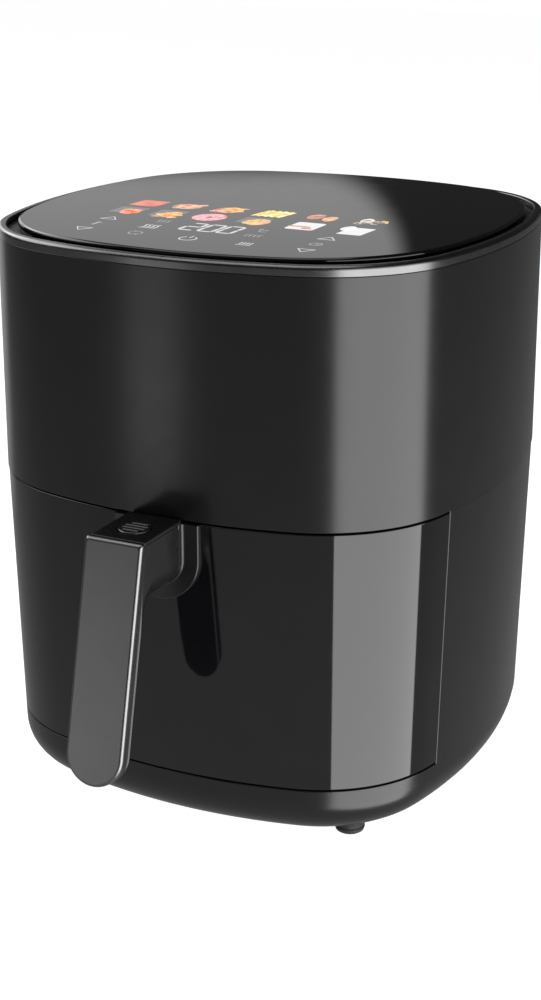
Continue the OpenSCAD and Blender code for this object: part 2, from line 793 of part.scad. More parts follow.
module latch_lever() color("#b9bbbe") placed() difference() {
    union() {
        bar_x(3.4, 6, latch_y, latch_z);
        box(-3, 3, post_y - 4, latch_y, latch_z - 1, latch_z + 2);
        box(-3, 3, latch_y - 1.5, latch_y + 1.5, 144.6, latch_z);
        box(-3, 3, latch_y - 3.6, latch_y, 144.6, 147.2);
    }
    bar_x(1.54, 20, latch_y, latch_z);
}

module latch_pin() color("#d8d9db") placed() bar_x(1.5, 29, latch_y, latch_z);

// ---- Fasteners ----

module shell_screws() color("#9a9ca0") placed() for (p = flange_points)
    translate([p[0], p[1], seam_z + 4.6]) mirror([0, 0, 1]) screw(3.6, 2.2, 1.7, 5.6);

module base_screws() color("#9a9ca0") placed() for (x = [-1, 1], y = [-1, 1])
    translate([x * base_screw_at[0], y * base_screw_at[1], foot_h - 2])
        screw(3.4, 2, 1.6, shell_wall + 2);

module motor_screws() color("#9a9ca0") placed() {
    for (p = bracket_screws) translate([p[0], p[1], dome_base + 5]) mirror([0, 0, 1])
        screw(2.7, 2, 1.75, 4);
    for (p = bell_screws) translate([p[0], p[1], motor_z + 26]) mirror([0, 0, 1])
        screw(3, 2, 1.55, 26);
}

module handle_screws() color("#9a9ca0") placed() for (z = [152, 162])
    translate([0, -105.5, z]) rotate([90, 0, 0]) screw(3, 2, 1.3, 8);

upper_shell();
lower_shell();
base_cover();
rubber_feet();
trim_ring();
top_frame();
glass_top();
display_module();
display_board();
air_outlet();
cord_gland();
opening_frame();
chamber_liner();
slide_rails();
ceiling_plate();
reflector_dome();
heating_element();
element_bushings();
element_guard();
temperature_probe();
thermal_cutoff();
motor_bracket();
motor_stator();
motor_end_bells();
motor_bearings();
motor_rotor();
motor_shaft();
convection_fan();
fan_nut();
cooling_fan();
electronics_tray();
power_board();
board_parts();
drawer_switch();
switch_lever();
drawer_front();
drawer_frame();
handle_collar();
pan();
basket();
basket_bumpers();
basket_bracket();
handle_grip();
handle_plate();
arm_cover();
release_button();
button_spring();
latch_lever();
latch_pin();
shell_screws();
base_screws();
motor_screws();
handle_screws();
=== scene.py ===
"""Looks of the digital drawer air fryer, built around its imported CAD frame.

Lengths are in millimetres, measured from the body's own axis, until they become mesh
vertices: x to the right, y to the back, z up from the surface the feet stand on.
"""
import json
import random
from math import asin, atan2, cos, dist, hypot, pi, radians, sin, sqrt, tan

import bmesh
import bpy
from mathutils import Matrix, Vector


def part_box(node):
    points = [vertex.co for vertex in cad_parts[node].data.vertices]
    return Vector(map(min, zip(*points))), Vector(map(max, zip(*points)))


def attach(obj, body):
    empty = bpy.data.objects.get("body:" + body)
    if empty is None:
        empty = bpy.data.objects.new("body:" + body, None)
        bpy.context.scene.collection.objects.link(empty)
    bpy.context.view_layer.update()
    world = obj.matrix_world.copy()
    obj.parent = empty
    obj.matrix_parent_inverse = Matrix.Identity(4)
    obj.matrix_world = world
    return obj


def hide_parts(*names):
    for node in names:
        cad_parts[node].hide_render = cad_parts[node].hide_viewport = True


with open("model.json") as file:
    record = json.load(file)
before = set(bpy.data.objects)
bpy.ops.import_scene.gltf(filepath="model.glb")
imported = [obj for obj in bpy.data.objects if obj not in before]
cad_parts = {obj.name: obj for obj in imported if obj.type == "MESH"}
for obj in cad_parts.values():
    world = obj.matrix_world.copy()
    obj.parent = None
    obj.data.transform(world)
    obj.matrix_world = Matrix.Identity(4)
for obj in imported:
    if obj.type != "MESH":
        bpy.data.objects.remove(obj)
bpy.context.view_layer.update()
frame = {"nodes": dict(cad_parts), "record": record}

MM = 0.001


def node_box(node):
    """A CAD node's lowest and highest corner, in millimetres in the row frame."""
    low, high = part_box(node)
    return low / MM, high / MM


ring_low, ring_high = node_box("trim_ring")
AXIS_Y = (ring_low.y + ring_high.y) / 2
BODY_HALF = (ring_high.x - ring_low.x) / 2
BODY_SCALE = 3.25
glass_low, glass_high = node_box("glass_top")
GLASS_HALF = (glass_high.x - glass_low.x) / 2
GLASS_SCALE = 2.5
TOP_Z = glass_high.z
SEAM_Z = node_box("upper_shell")[0].z
TRIM_Z = ring_low.z
# The bowed-square plan is drawn on a grid that a scale turns into millimetres: the corner arcs
# are centred at (16, 16), and the side arcs on the far side, at 47 from the axis.
CORNER_AT, CORNER_CUT, SIDE_AT = 16, 18, 47
TILT = atan2(CORNER_AT, CORNER_AT + SIDE_AT)


# ---- Outlines and meshes ----

def arc_column(quarter, half, scale, is_corner, angle):
    """A point of the bowed-square outline, as a function of how far it is set in."""
    corner, side = CORNER_AT * scale, SIDE_AT * scale
    centre = (corner, corner) if is_corner else (-side, 0)
    radius = half - CORNER_CUT * scale if is_corner else half + side
    c, s = [(1, 0), (0, 1), (-1, 0), (0, -1)][quarter]

    def at(inset):
        x = centre[0] + (radius - inset) * cos(angle)
        y = centre[1] + (radius - inset) * sin(angle)
        return c * x - s * y, s * x + c * y
    return at


def side_column(side, half, scale, y):
    """A point of the left or right side that stays at one y until it is set in by hold."""
    hold = 16
    centre = SIDE_AT * scale

    def at(inset):
        radius = half + centre - inset
        angle = asin(y / (half + centre - min(inset, hold)))
        return side * (radius * cos(angle) - centre), radius * sin(angle)
    return at


def outline(half, scale, side_steps=28, corner_steps=30):
    """The whole outline, from the back round the left side to the front and the right side."""
    columns = []
    for quarter in (1, 2, 3, 0):
        for i in range(side_steps):
            angle = TILT * (2 * i / side_steps - 1)
            columns.append(arc_column(quarter, half, scale, False, angle))
        for i in range(corner_steps):
            angle = TILT + (pi / 2 - 2 * TILT) * i / corner_steps
            columns.append(arc_column(quarter, half, scale, True, angle))
    return columns


def front_columns(half, scale, cut_y):
    """The part of the outline in front of cut_y, ending in columns exactly at cut_y."""
    inside = [c for c in outline(half, scale) if c(0)[1] < cut_y - 1.5]
    return ([side_column(-1, half, scale, cut_y)] + inside
            + [side_column(1, half, scale, cut_y)])


def loft(columns, profile, closed):
    """Points and faces of a closed profile, a loop of (inset, z), along the columns."""
    rows = len(profile)
    points = [(*at(inset), z) for at in columns for inset, z in profile]
    faces = []
    count = len(columns)
    for i in range(count if closed else count - 1):
        for j in range(rows):
            near, far = i * rows, (i + 1) % count * rows
            faces.append((near + j, near + (j + 1) % rows, far + (j + 1) % rows, far + j))
    if not closed:
        faces.append(tuple(range(rows)))
        faces.append(tuple(range((count - 1) * rows, count * rows)))
    return points, faces


def stack(rings):
    """Points and faces of a solid whose surface runs through rings of equal length."""
    count = len(rings[0])
    points = [p for ring in rings for p in ring]
    faces = [tuple(range(count)), tuple(range(len(points) - count, len(points)))]
    for i in range(len(rings) - 1):
        for j in range(count):
            k = (j + 1) % count
            faces.append((i * count + j, i * count + k, (i + 1) * count + k, (i + 1) * count + j))
    return points, faces


def joined(*shapes):
    """Several (points, faces) shapes as one."""
    points, faces = [], []
    for more_points, more_faces in shapes:
        start = len(points)
        points += more_points
        faces += [tuple(start + i for i in face) for face in more_faces]
    return points, faces


def box_shape(x0, x1, y0, y1, z0, z1):
    ring = [(x0, y0), (x1, y0), (x1, y1), (x0, y1)]
    return stack([[(x, y, z) for x, y in ring] for z in (z0, z1)])


def arc(x, y, radius, start, end, steps):
    """Points along an arc, in degrees."""
    angles = [radians(start + (end - start) * i / steps) for i in range(steps + 1)]
    return [(x + radius * cos(a), y + radius * sin(a)) for a in angles]


QUARTER = [radians(15 * i) for i in range(7)]


def circle(x, y, radius, steps=48):
    return arc(x, y, radius, 0, 360, steps)[:-1]


def rounded_square(half, radius, steps=14):
    """Outline of a square with round corners."""
    flat = half - radius
    return (arc(flat, flat, radius, 0, 90, steps) + arc(-flat, flat, radius, 90, 180, steps)
            + arc(-flat, -flat, radius, 180, 270, steps)
            + arc(flat, -flat, radius, 270, 360, steps))


def stadium(y, half, radius, steps=20):
    """Outline of two half circles, side by side along y."""
    return arc(0, y + half, radius, 0, 180, steps) + arc(0, y - half, radius, 180, 360, steps)


def new_object(name, data):
    made = bpy.data.objects.new(name, data)
    bpy.context.scene.collection.objects.link(made)
    return made


def raw_mesh(name, shape):
    """The shape as a closed mesh with its faces turned outwards."""
    points, faces = shape
    mesh = bpy.data.meshes.new(name)
    mesh.from_pydata([(x * MM, (y + AXIS_Y) * MM, z * MM) for x, y, z in points], [], faces)
    bm = bmesh.new()
    bm.from_mesh(mesh)
    bmesh.ops.remove_doubles(bm, verts=bm.verts, dist=1e-7)
    bmesh.ops.dissolve_degenerate(bm, dist=1e-7, edges=bm.edges)
    stray = [v for v in bm.verts if not v.link_faces]
    bmesh.ops.delete(bm, geom=stray, context="VERTS")
    bmesh.ops.recalc_face_normals(bm, faces=bm.faces)
    bm.to_mesh(mesh)
    bm.free()
    return new_object(name, mesh)


def applied(piece):
    """Turns the piece's modifiers into its mesh."""
    bpy.context.view_layer.update()
    evaluated = piece.evaluated_get(bpy.context.evaluated_depsgraph_get())
    mesh = bpy.data.meshes.new_from_object(evaluated)
    piece.modifiers.clear()
    old = piece.data
    piece.data = mesh
    bpy.data.meshes.remove(old)


def bevelled(piece, width, segments=2, angle=40):
    bevel = piece.modifiers.new("bevel", "BEVEL")
    bevel.width = width * MM
    bevel.segments = segments
    bevel.limit_method = "ANGLE"
    bevel.angle_limit = radians(angle)
    bevel.use_clamp_overlap = False
    applied(piece)


def cut_out(piece, *shapes):
    """Removes each shape from the piece."""
    for shape in shapes:
        cutter = raw_mesh("cutter", shape)
        boolean = piece.modifiers.new("cut", "BOOLEAN")
        boolean.operation = "DIFFERENCE"
        boolean.solver = "EXACT"
        boolean.object = cutter
        applied(piece)
        bpy.data.objects.remove(cutter)


def finish_piece(piece, body, slot, replaces=(), sharp=40, material=None):
    """Smooth shading that keeps flat faces flat, then the material, which the slot picks unless one
    is given, and the body.
    """
    mesh = piece.data
    mesh.materials.clear()
    mesh.materials.append(material or MATERIALS[slot])
    mesh.polygons.foreach_set("use_smooth", [True] * len(mesh.polygons))
    mesh.set_sharp_from_angle(angle=radians(sharp))
    weighted = piece.modifiers.new("normals", "WEIGHTED_NORMAL")
    weighted.keep_sharp = True
    weighted.weight = 90
    applied(piece)
    piece.data.name = piece.name
    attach(piece, body)
    if replaces:
        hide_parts(*replaces)


# ---- Materials ----

class Nodes:
    """A material's node tree, with short calls for what the materials here need."""

    def __init__(self, name):
        self.material = bpy.data.materials.new(name)
        self.material.use_nodes = True
        self.tree = self.material.node_tree
        self.shader = self.tree.nodes["Principled BSDF"]
        self.coordinates = self.add("ShaderNodeTexCoord").outputs["Object"]

    def add(self, kind, **settings):
        node = self.tree.nodes.new(kind)
        for key, value in settings.items():
            setattr(node, key, value)
        return node

    def link(self, source, target):
        self.tree.links.new(source, target)

    def stretched(self, scale):
        mapping = self.add("ShaderNodeMapping")
        mapping.inputs["Scale"].default_value = scale
        self.link(self.coordinates, mapping.inputs["Vector"])
        return mapping.outputs["Vector"]

    def noise(self, scale, detail=3.0, stretch=(1, 1, 1)):
        noise = self.add("ShaderNodeTexNoise")
        noise.inputs["Scale"].default_value = scale
        noise.inputs["Detail"].default_value = detail
        self.link(self.stretched(stretch), noise.inputs["Vector"])
        return noise.outputs["Fac"]

    def cells(self, scale, output="Color"):
        cells = self.add("ShaderNodeTexVoronoi")
        cells.inputs["Scale"].default_value = scale
        self.link(self.coordinates, cells.inputs["Vector"])
        return cells.outputs[output]

    def ramp(self, source, stops):
        ramp = self.add("ShaderNodeValToRGB")
        elements = ramp.color_ramp.elements
        while len(elements) < len(stops):
            elements.new(1.0)
        for element, (position, color) in zip(elements, stops):
            element.position = position
            element.color = (*color, 1)
        self.link(source, ramp.inputs["Fac"])
        return ramp.outputs["Color"]

    def span(self, source, low, high, lowest=0.3, highest=0.7):
        spread = self.add("ShaderNodeMapRange")
        limits = {"From Min": lowest, "From Max": highest, "To Min": low, "To Max": high}
        for key, value in limits.items():
            spread.inputs[key].default_value = value
        self.link(source, spread.inputs["Value"])
        return spread.outputs["Result"]

    def bump(self, source, depth, strength=1.0):
        bump = self.add("ShaderNodeBump")
        bump.inputs["Distance"].default_value = depth * MM
        bump.inputs["Strength"].default_value = strength
        self.link(source, bump.inputs["Height"])
        self.link(bump.outputs["Normal"], self.shader.inputs["Normal"])

    def set(self, **values):
        for key, value in values.items():
            self.shader.inputs[key.replace("_", " ")].default_value = value


def moulded(name, color, rough, swing=0.05, grain=0.02, grain_scale=2600, specular=0.5, coat=0.0,
            mottle=0.15):
    """Moulded plastic or rubber: fine grain, and colour and gloss that wander a little."""
    n = Nodes(name)
    n.set(Specular_IOR_Level=specular, Coat_Weight=coat, Coat_Roughness=0.04)
    low = tuple(c * (1 - mottle) for c in color)
    high = tuple(c * (1 + mottle) for c in color)
    n.link(n.ramp(n.noise(45, 4), [(0.3, low), (0.7, high)]), n.shader.inputs["Base Color"])
    n.link(n.span(n.noise(120, 5), rough - swing, rough + swing), n.shader.inputs["Roughness"])
    n.bump(n.noise(grain_scale, 2), grain, 0.6)
    return n.material


def metal(name, color, rough, swing=0.06, stretch=(1, 1, 1), scale=700, depth=0.004, mottle=0.08):
    """Bare or plated metal: grain or brushing along the axis that isn't stretched."""
    n = Nodes(name)
    n.set(Metallic=1.0)
    low = tuple(c * (1 - mottle) for c in color)
    high = tuple(min(1.0, c * (1 + mottle)) for c in color)
    streaks = n.noise(scale, 3, stretch)
    n.link(n.ramp(n.noise(60, 4), [(0.3, low), (0.7, high)]), n.shader.inputs["Base Color"])
    n.link(n.span(streaks, rough - swing, rough + swing), n.shader.inputs["Roughness"])
    n.bump(streaks, depth, 0.5)
    return n.material


def spangled(name, color, rough):
    """Galvanised or rolled sheet, with a faint crystal pattern."""
    n = Nodes(name)
    n.set(Metallic=1.0)
    low = tuple(c * 0.8 for c in color)
    n.link(n.ramp(n.cells(90), [(0.2, low), (0.8, color)]), n.shader.inputs["Base Color"])
    n.link(n.span(n.noise(300, 4), rough - 0.08, rough + 0.08), n.shader.inputs["Roughness"])
    n.bump(n.noise(900, 2), 0.004, 0.4)
    return n.material


def speckled(name, color, fleck, rough, amount=0.1):
    """Non-stick coating with fine light flecks."""
    n = Nodes(name)
    flecks = n.cells(1500, "Distance")
    n.link(n.ramp(flecks, [(amount * 0.6, fleck), (amount, color)]), n.shader.inputs["Base Color"])
    n.link(n.span(n.noise(160, 4), rough - 0.06, rough + 0.06), n.shader.inputs["Roughness"])
    n.bump(n.noise(1400, 3), 0.012, 0.6)
    return n.material


SATIN = (0.0035, 0.0035, 0.0037), 0.22, 0.015, 0.004, 2600, 0.45
GLOSS = (0.0025, 0.0025, 0.003), 0.05, 0.01, 0.0, 300
MATERIALS = {
    "shell_black": moulded("satin_shell", *SATIN),
    "base_black": moulded("satin_base", *SATIN),
    "trim_metal": metal("dark_chrome", (0.14, 0.14, 0.144), 0.25, 0.03, (1, 1, 30), 90, 0.001),
    "frame_black": moulded("matt_black", (0.008, 0.008, 0.009), 0.5, 0.05, 0.01),
    "panel_glass": moulded("black_glass", *GLOSS),
    "display_dark": moulded("display_case", (0.02, 0.022, 0.026), 0.45),
    "board_green": moulded("circuit_board", (0.01, 0.09, 0.03), 0.4, 0.06, 0.02, 900, 0.5, 0.3),
    "rubber_black": moulded("rubber", (0.012, 0.012, 0.012), 0.75, 0.08, 0.05, 1800),
    "silicone_grey": moulded("silicone", (0.12, 0.12, 0.125), 0.6, 0.06, 0.03, 1500),
    "sheet_steel": spangled("zinc_sheet", (0.55, 0.56, 0.58), 0.32),
    "reflector_steel": spangled("bright_sheet", (0.72, 0.73, 0.75), 0.2),
    "element_metal": metal("heater_tube", (0.20, 0.17, 0.15), 0.5, 0.1, (1, 1, 1), 500, 0.02, 0.3),
    "guard_wire": metal("guard_wire_steel", (0.5, 0.51, 0.53), 0.28),
    "ceramic": moulded("ceramic", (0.75, 0.72, 0.64), 0.4, 0.08, 0.02, 900),
    "motor_steel": metal("motor_laminations", (0.12, 0.12, 0.13), 0.42, 0.08, (1, 1, 60), 40, 0.02),
    "copper": metal("enamelled_copper", (0.55, 0.24, 0.11), 0.3, 0.08, (1, 1, 40), 60, 0.05),
    "bright_steel": metal("bright_steel", (0.62, 0.63, 0.65), 0.2),
    "fan_aluminium": metal("fan_aluminium", (0.66, 0.67, 0.69), 0.3, 0.08, (1, 1, 1), 400),
    "fan_plastic": moulded("fan_plastic", (0.03, 0.03, 0.033), 0.45),
    "part_plastic": moulded("part_plastic", (0.03, 0.032, 0.04), 0.42),
    "gloss_black": moulded("piano_black", *GLOSS),
    "nonstick": speckled("nonstick", (0.016, 0.016, 0.017), (0.10, 0.10, 0.10), 0.42),
    "grip_black": moulded("satin_grip", (0.005, 0.005, 0.0053), 0.27, 0.03, 0.005, 2400),
    "handle_metal": metal("satin_plate", (0.17, 0.17, 0.175), 0.3, 0.03, (1, 1, 1), 2600, 0.002,
                          0.02),
    "button_black": moulded("button_black", (0.007, 0.007, 0.0073), 0.26, 0.03, 0.004, 2400, 0.6),
}


def dress_cad_nodes():
    """Gives each carried-over CAD node the material of its slot in the record."""
    for part in frame["record"]["subparts"]:
        shown = frame["nodes"][part["node"]]
        shown.data.materials.clear()
        shown.data.materials.append(MATERIALS[part["material_slot"]])


# ---- Shells ----

LOWER_TOP = node_box("lower_shell")[1].z
LOWER_BOTTOM = node_box("lower_shell")[0].z
DRAWER_LOW, DRAWER_HIGH = node_box("drawer_front")
OPENING_Z = DRAWER_LOW.z - 0.8
OPENING_Y = -63
DRAWER_SIDE_Y = -63.5
SEAM_GAP = 0.4
TAPER = 0.026
BOTTOM_ROUND = 22
COLLAR_R = 24
ARM_R = 15
UNDER_TOP = 176.8
ARM_ROUND_Z = 158.5


def lower_inset(z):
    """How far the lower shell and the drawer lean in from the upper shell at a height."""
    return SEAM_GAP + TAPER * (SEAM_Z - z)


def add_upper_shell():
    wall, sheet, top_flange, foot_flange = 2.6, 2.4, 6, 13
    profile = [(0, SEAM_Z), (0, TRIM_Z), (top_flange, TRIM_Z), (top_flange, TRIM_Z - sheet),
               (wall, TRIM_Z - sheet), (wall, SEAM_Z + sheet), (foot_flange, SEAM_Z + sheet),
               (foot_flange, SEAM_Z)]
    shell = raw_mesh("upper_casing", loft(outline(BODY_HALF, BODY_SCALE), profile, True))
    bevelled(shell, 0.5, 3)
    low, high = node_box("air_outlet")
    gland_low, gland_high = node_box("cord_gland")
    gland_x = (gland_low.x + gland_high.x) / 2
    gland_z = (gland_low.z + gland_high.z) / 2
    gap, gland_r, outside = 0.4, 9.3, BODY_HALF + 5
    gland_hole = [[(gland_x + u, y, gland_z + v) for u, v in circle(0, 0, gland_r)]
                  for y in (110, outside)]
    outlet_hole = box_shape(low.x - gap, high.x + gap, 118, outside, low.z - gap, high.z + gap)
    cut_out(shell, outlet_hole, stack(gland_hole))
    finish_piece(shell, "housing", "shell_black", ["upper_shell"])


def add_seam_ledge():
    """Ledge that closes the upper shell's underside above the drawer."""
    hole_half, hole_round = 113.5, 60
    outer = [at(12.8) for at in front_columns(BODY_HALF, BODY_SCALE, OPENING_Y)]
    hole = [(x, y) for x, y in rounded_square(hole_half, hole_round, 24) if y < OPENING_Y]
    hole = [(-hole_half, OPENING_Y)] + hole + [(hole_half, OPENING_Y)]

    def resampled(path, count):
        lengths = [0]
        for a, b in zip(path, path[1:]):
            lengths.append(lengths[-1] + dist(a, b))
        result = []
        for i in range(count):
            want = lengths[-1] * i / (count - 1)
            k = max(j for j in range(len(path) - 1) if lengths[j] <= want + 1e-9)
            t = (want - lengths[k]) / (lengths[k + 1] - lengths[k])
            result.append(tuple(p + (q - p) * t for p, q in zip(path[k], path[k + 1])))
        return result

    count = 81
    bottom, top = SEAM_Z + 0.1, SEAM_Z + 2.3
    loops = [[(*a, bottom), (*a, top), (*b, top), (*b, bottom)]
             for a, b in zip(resampled(outer, count), resampled(hole, count))]
    ledge = raw_mesh("seam_ledge", stack(loops))
    finish_piece(ledge, "housing", "shell_black")


def add_lower_shell():
    """A band of wall round the bottom, with the full height only behind the drawer opening."""
    wall, top_flange, floor_flange, steps = 3, 12, 8, 12
    round_z = LOWER_BOTTOM + BOTTOM_ROUND
    low = lower_inset(round_z)
    outer = [(low + BOTTOM_ROUND + floor_flange, LOWER_BOTTOM)]
    inner = [(low + BOTTOM_ROUND + floor_flange, LOWER_BOTTOM + wall)]
    for i in range(steps + 1):
        angle = pi / 2 * i / steps
        for rows, radius in ((outer, BOTTOM_ROUND), (inner, BOTTOM_ROUND - wall)):
            rows.append((low + BOTTOM_ROUND - radius * sin(angle), round_z - radius * cos(angle)))
    band = len(outer)
    outer += [(lower_inset(OPENING_Z), OPENING_Z), (lower_inset(LOWER_TOP), LOWER_TOP)]
    inner += [(lower_inset(OPENING_Z) + wall, OPENING_Z),
              (lower_inset(LOWER_TOP) + top_flange, LOWER_TOP)]
    profile = outer + inner[::-1]
    loop = len(profile)

    # Columns are at the back, in front, or at the cut where the opening ends. Those just in front
    # of a cut are left out, because set in they would lean across it.
    columns = []
    for at in outline(BODY_HALF, BODY_SCALE):
        y = at(0)[1]
        if not OPENING_Y - 4 < y < OPENING_Y:
            columns.append((at, "front" if y < OPENING_Y else "back"))
    fronts = [i for i, (at, place) in enumerate(columns) if place == "front"]
    left, right = fronts[0], fronts[-1] + 1
    cuts = [(side_column(side, BODY_HALF, BODY_SCALE, OPENING_Y), "cut") for side in (-1, 1)]
    columns = columns[:left] + cuts[:1] + columns[left:right] + cuts[1:] + columns[right:]
    points = [(*at(inset), z) for at, place in columns for inset, z in profile]
    faces = []
    count = len(columns)
    last = loop - band - 1
    for i in range(count):
        near, far = i * loop, (i + 1) % count * loop
        is_open = "front" in (columns[i][1], columns[(i + 1) % count][1])
        for j in range(loop):
            k = (j + 1) % loop
            if not (is_open and band <= j < last):
                faces.append((near + j, near + k, far + k, far + j))
        if is_open:
            faces.append((near + band, near + last, far + last, far + band))
        if columns[i][1] == "cut":
            faces.append(tuple(i * loop + j for j in range(band, last + 1)))
    shell = raw_mesh("lower_casing", (points, faces))
    bevelled(shell, 0.5, 3)
    finish_piece(shell, "housing", "base_black", ["lower_shell"])


def add_trim_ring():
    height = ring_high.z
    outer, inner, wall, lip = 2.2, 0.8, 3.2, 4.7
    profile = [(0, TRIM_Z + 0.1)]
    profile += [(outer - outer * cos(a), height - outer + outer * sin(a)) for a in QUARTER]
    profile += [(lip - inner + inner * sin(a), height - inner + inner * cos(a)) for a in QUARTER]
    profile += [(lip, height - 2.2), (wall, height - 3), (wall, TRIM_Z + 0.1)]
    ring = raw_mesh("trim_band", loft(outline(BODY_HALF, BODY_SCALE, 40, 44), profile, True))
    finish_piece(ring, "housing", "trim_metal", ["trim_ring"])


PRINT_DEPTH = 0.08


def add_glass():
    radius = 1.6
    top = TOP_Z - PRINT_DEPTH
    edge = [(radius - radius * cos(a), top - radius + radius * sin(a))
            for a in (radians(10 * i) for i in range(10))]
    levels = [(0.5, glass_low.z), (0, glass_low.z + 0.5)] + edge + [(30, top)]
    rings = [[(*at(inset), z) for at in outline(GLASS_HALF, GLASS_SCALE, 40, 44)]
             for inset, z in levels]
    glass = raw_mesh("glass_panel", stack(rings))
    finish_piece(glass, "housing", "panel_glass", ["glass_top"])


def u_outline(radius, top, steps=32):
    """An upright U in x and z: straight sides down from top, half-round bottom."""
    return [(-radius, top)] + arc(0, ARM_ROUND_Z, radius, 180, 360, steps) + [(radius, top)]


def u_prism(radius, y0, y1, top):
    return stack([[(x, y, z) for x, z in u_outline(radius, top)] for y in (y0, y1)])


def add_drawer_front():
    low, high = DRAWER_LOW.z, DRAWER_HIGH.z
    wall = 3
    profile = [(lower_inset(low), low), (lower_inset(high), high),
               (lower_inset(high) + wall, high), (lower_inset(low) + wall, low)]
    skin = raw_mesh("drawer_skin",
                    loft(front_columns(BODY_HALF, BODY_SCALE, DRAWER_SIDE_Y), profile, False))
    bevelled(skin, 0.6, 4)
    cut_out(skin, u_prism(COLLAR_R, -BODY_HALF - 20, -110, high + 20))
    finish_piece(skin, "drawer", "gloss_black", ["drawer_front"])


# ---- Handle ----

LEAN = radians(13)
PLATE_TOP_Y, ARM_TOP = -178.2, 179.2
PLATE_R, PLATE_LENGTH, PLATE_T, GRIP_T = 15.8, 121.4, 3.5, 8
COVER_T, COVER_STEP = 2.2, -137.6


def leaning(depth, down):
    """y and z of a point behind the plate's front face, at a distance down the plate."""
    return (PLATE_TOP_Y + depth * cos(LEAN) - down * sin(LEAN),
            ARM_TOP - depth * sin(LEAN) - down * cos(LEAN))


def add_handle_plate():
    edge, corner, length = 1.6, 1.2, PLATE_LENGTH - 0.1

    def ring(inset, depth):
        half = PLATE_R - inset
        top = depth * tan(LEAN) - inset
        path = arc(0, PLATE_R - length, half, 180, 360, 40)
        path += arc(half - corner, top - corner, corner, 0, 90, 6)
        path += arc(corner - half, top - corner, corner, 90, 180, 6)
        return [(x, *leaning(depth, -rise)) for x, rise in path]

    levels = [(edge - edge * sin(a), edge - edge * cos(a))
              for a in (radians(x) for x in (0, 6, 15, 25, 35, 45, 55, 65, 75, 83, 90))]
    levels += [(0.0, PLATE_T - 0.4), (0.25, PLATE_T - 0.02)]
    plate = raw_mesh("handle_front", stack([ring(inset, depth) for inset, depth in levels]))
    finish_piece(plate, "drawer", "handle_metal", ["handle_plate"], 60)


def add_handle_grip():
    fillet, grip_round, grip_lip, bead_room = 15, 2.4, 0.7, 5.6
    arm_low, arm_high = ARM_ROUND_Z - ARM_R, ARM_TOP - COVER_T
    back, front = PLATE_T + GRIP_T, PLATE_T
    centre_z = arm_low - fillet
    down = (ARM_TOP - back * sin(LEAN) - centre_z) / cos(LEAN)
    centre_y = leaning(back, down)[0] + fillet / cos(LEAN)
    stations = []

    def station(inner, outer, round_side, lip=0.0, half=ARM_R, ahead=0.0):
        stations.append((inner, outer, half, round_side, lip, ahead))

    # Stations run along the arm, turn round the fillet, and then go down the grip.
    for y in (-111, -125, COVER_STEP - 3.4):
        station((y, arm_low), (y, UNDER_TOP - COVER_T), ARM_R)
    for y in (COVER_STEP - 3.41, -150):
        station((y, arm_low), (y, arm_high), ARM_R)
    steps, end = 26, 168
    normal = (cos(LEAN), -sin(LEAN))
    face_y, face_z = leaning(front, 0)
    gap = (centre_y - face_y) * normal[0] + (centre_z - face_z) * normal[1]
    for i in range(steps + 1):
        t = i / steps
        angle = radians(90 + (end - 90) * i / steps)
        c, s = cos(angle), sin(angle)
        ease = t * t * (3 - 2 * t)
        slope = -(c * normal[0] + s * normal[1])
        reach = min((arm_high - centre_z) / s, gap / slope if slope > 1e-6 else 1e9)
        inner = (centre_y + fillet * c, centre_z + fillet * s)
        outer = (centre_y + reach * c, centre_z + reach * s)
        # The rounding leaves room for the bead, or the faces would cross.
        radius = min(ARM_R + (grip_round - ARM_R) * ease, reach - fillet - bead_room)
        station(inner, outer, radius, grip_lip * ease)
    contact_z = centre_z + fillet * sin(LEAN)
    start = (ARM_TOP - back * sin(LEAN) - contact_z) / cos(LEAN)
    straight_end = PLATE_LENGTH - PLATE_R
    for i in range(1, 9):
        d = start + (straight_end - start) * i / 8
        station(leaning(back, d), leaning(front, d), grip_round, grip_lip)
    for degrees in (6, 12, 20, 28, 36, 44, 52, 60, 66, 72, 77, 81, 84.5, 87):
        a = radians(degrees)
        d = straight_end + ARM_R * sin(a)
        station(leaning(back, d), leaning(front, d), grip_round, grip_lip, ARM_R * cos(a),
                ARM_R * sin(a))

    rings = []
    samples = 30
    for inner, outer, width, round_side, lip, ahead in stations:
        length = dist(inner, outer)
        u = ((outer[0] - inner[0]) / length, (outer[1] - inner[1]) / length)
        ring = []
        for i in range(samples + 1):
            x = width * sin(pi / 2 * (2 * i / samples - 1))
            edge = ARM_R - hypot(x, ahead) if ahead else width - abs(x)
            rest = max(0.0, 1 - max(edge, 0.0) / round_side)
            depth = round_side * (1 - sqrt(max(0.0, 1 - rest * rest)))
            ring.append((x, inner[0] + u[0] * depth, inner[1] + u[1] * depth))
        narrow = width * (1 - lip / ARM_R)
        steps_out = [(width, 5.4), (width - (width - narrow) * 0.3, 5.0), (narrow, 4.3),
                     (narrow, 0)]
        steps_out += [(-x, short) for x, short in reversed(steps_out)]
        ring += [(x, outer[0] - u[0] * short, outer[1] - u[1] * short) for x, short in steps_out]
        rings.append(ring)
    grip = raw_mesh("handle_body", stack(rings))
    cavity = [[(x, y, max(z, ARM_ROUND_Z - ARM_R + 3)) for x, z in u_outline(ARM_R - 2.8, ARM_TOP)]
              for y in (-169.5, -114)]
    cut_out(grip, stack(cavity), box_shape(-3.6, 3.6, -138.4, -125, 140, 147))
    finish_piece(grip, "drawer", "grip_black", ["handle_grip"], 50)


BUTTON_Y, BUTTON_R, BUTTON_HALF, POST_Y = -158, 8, 0.5, -151.5


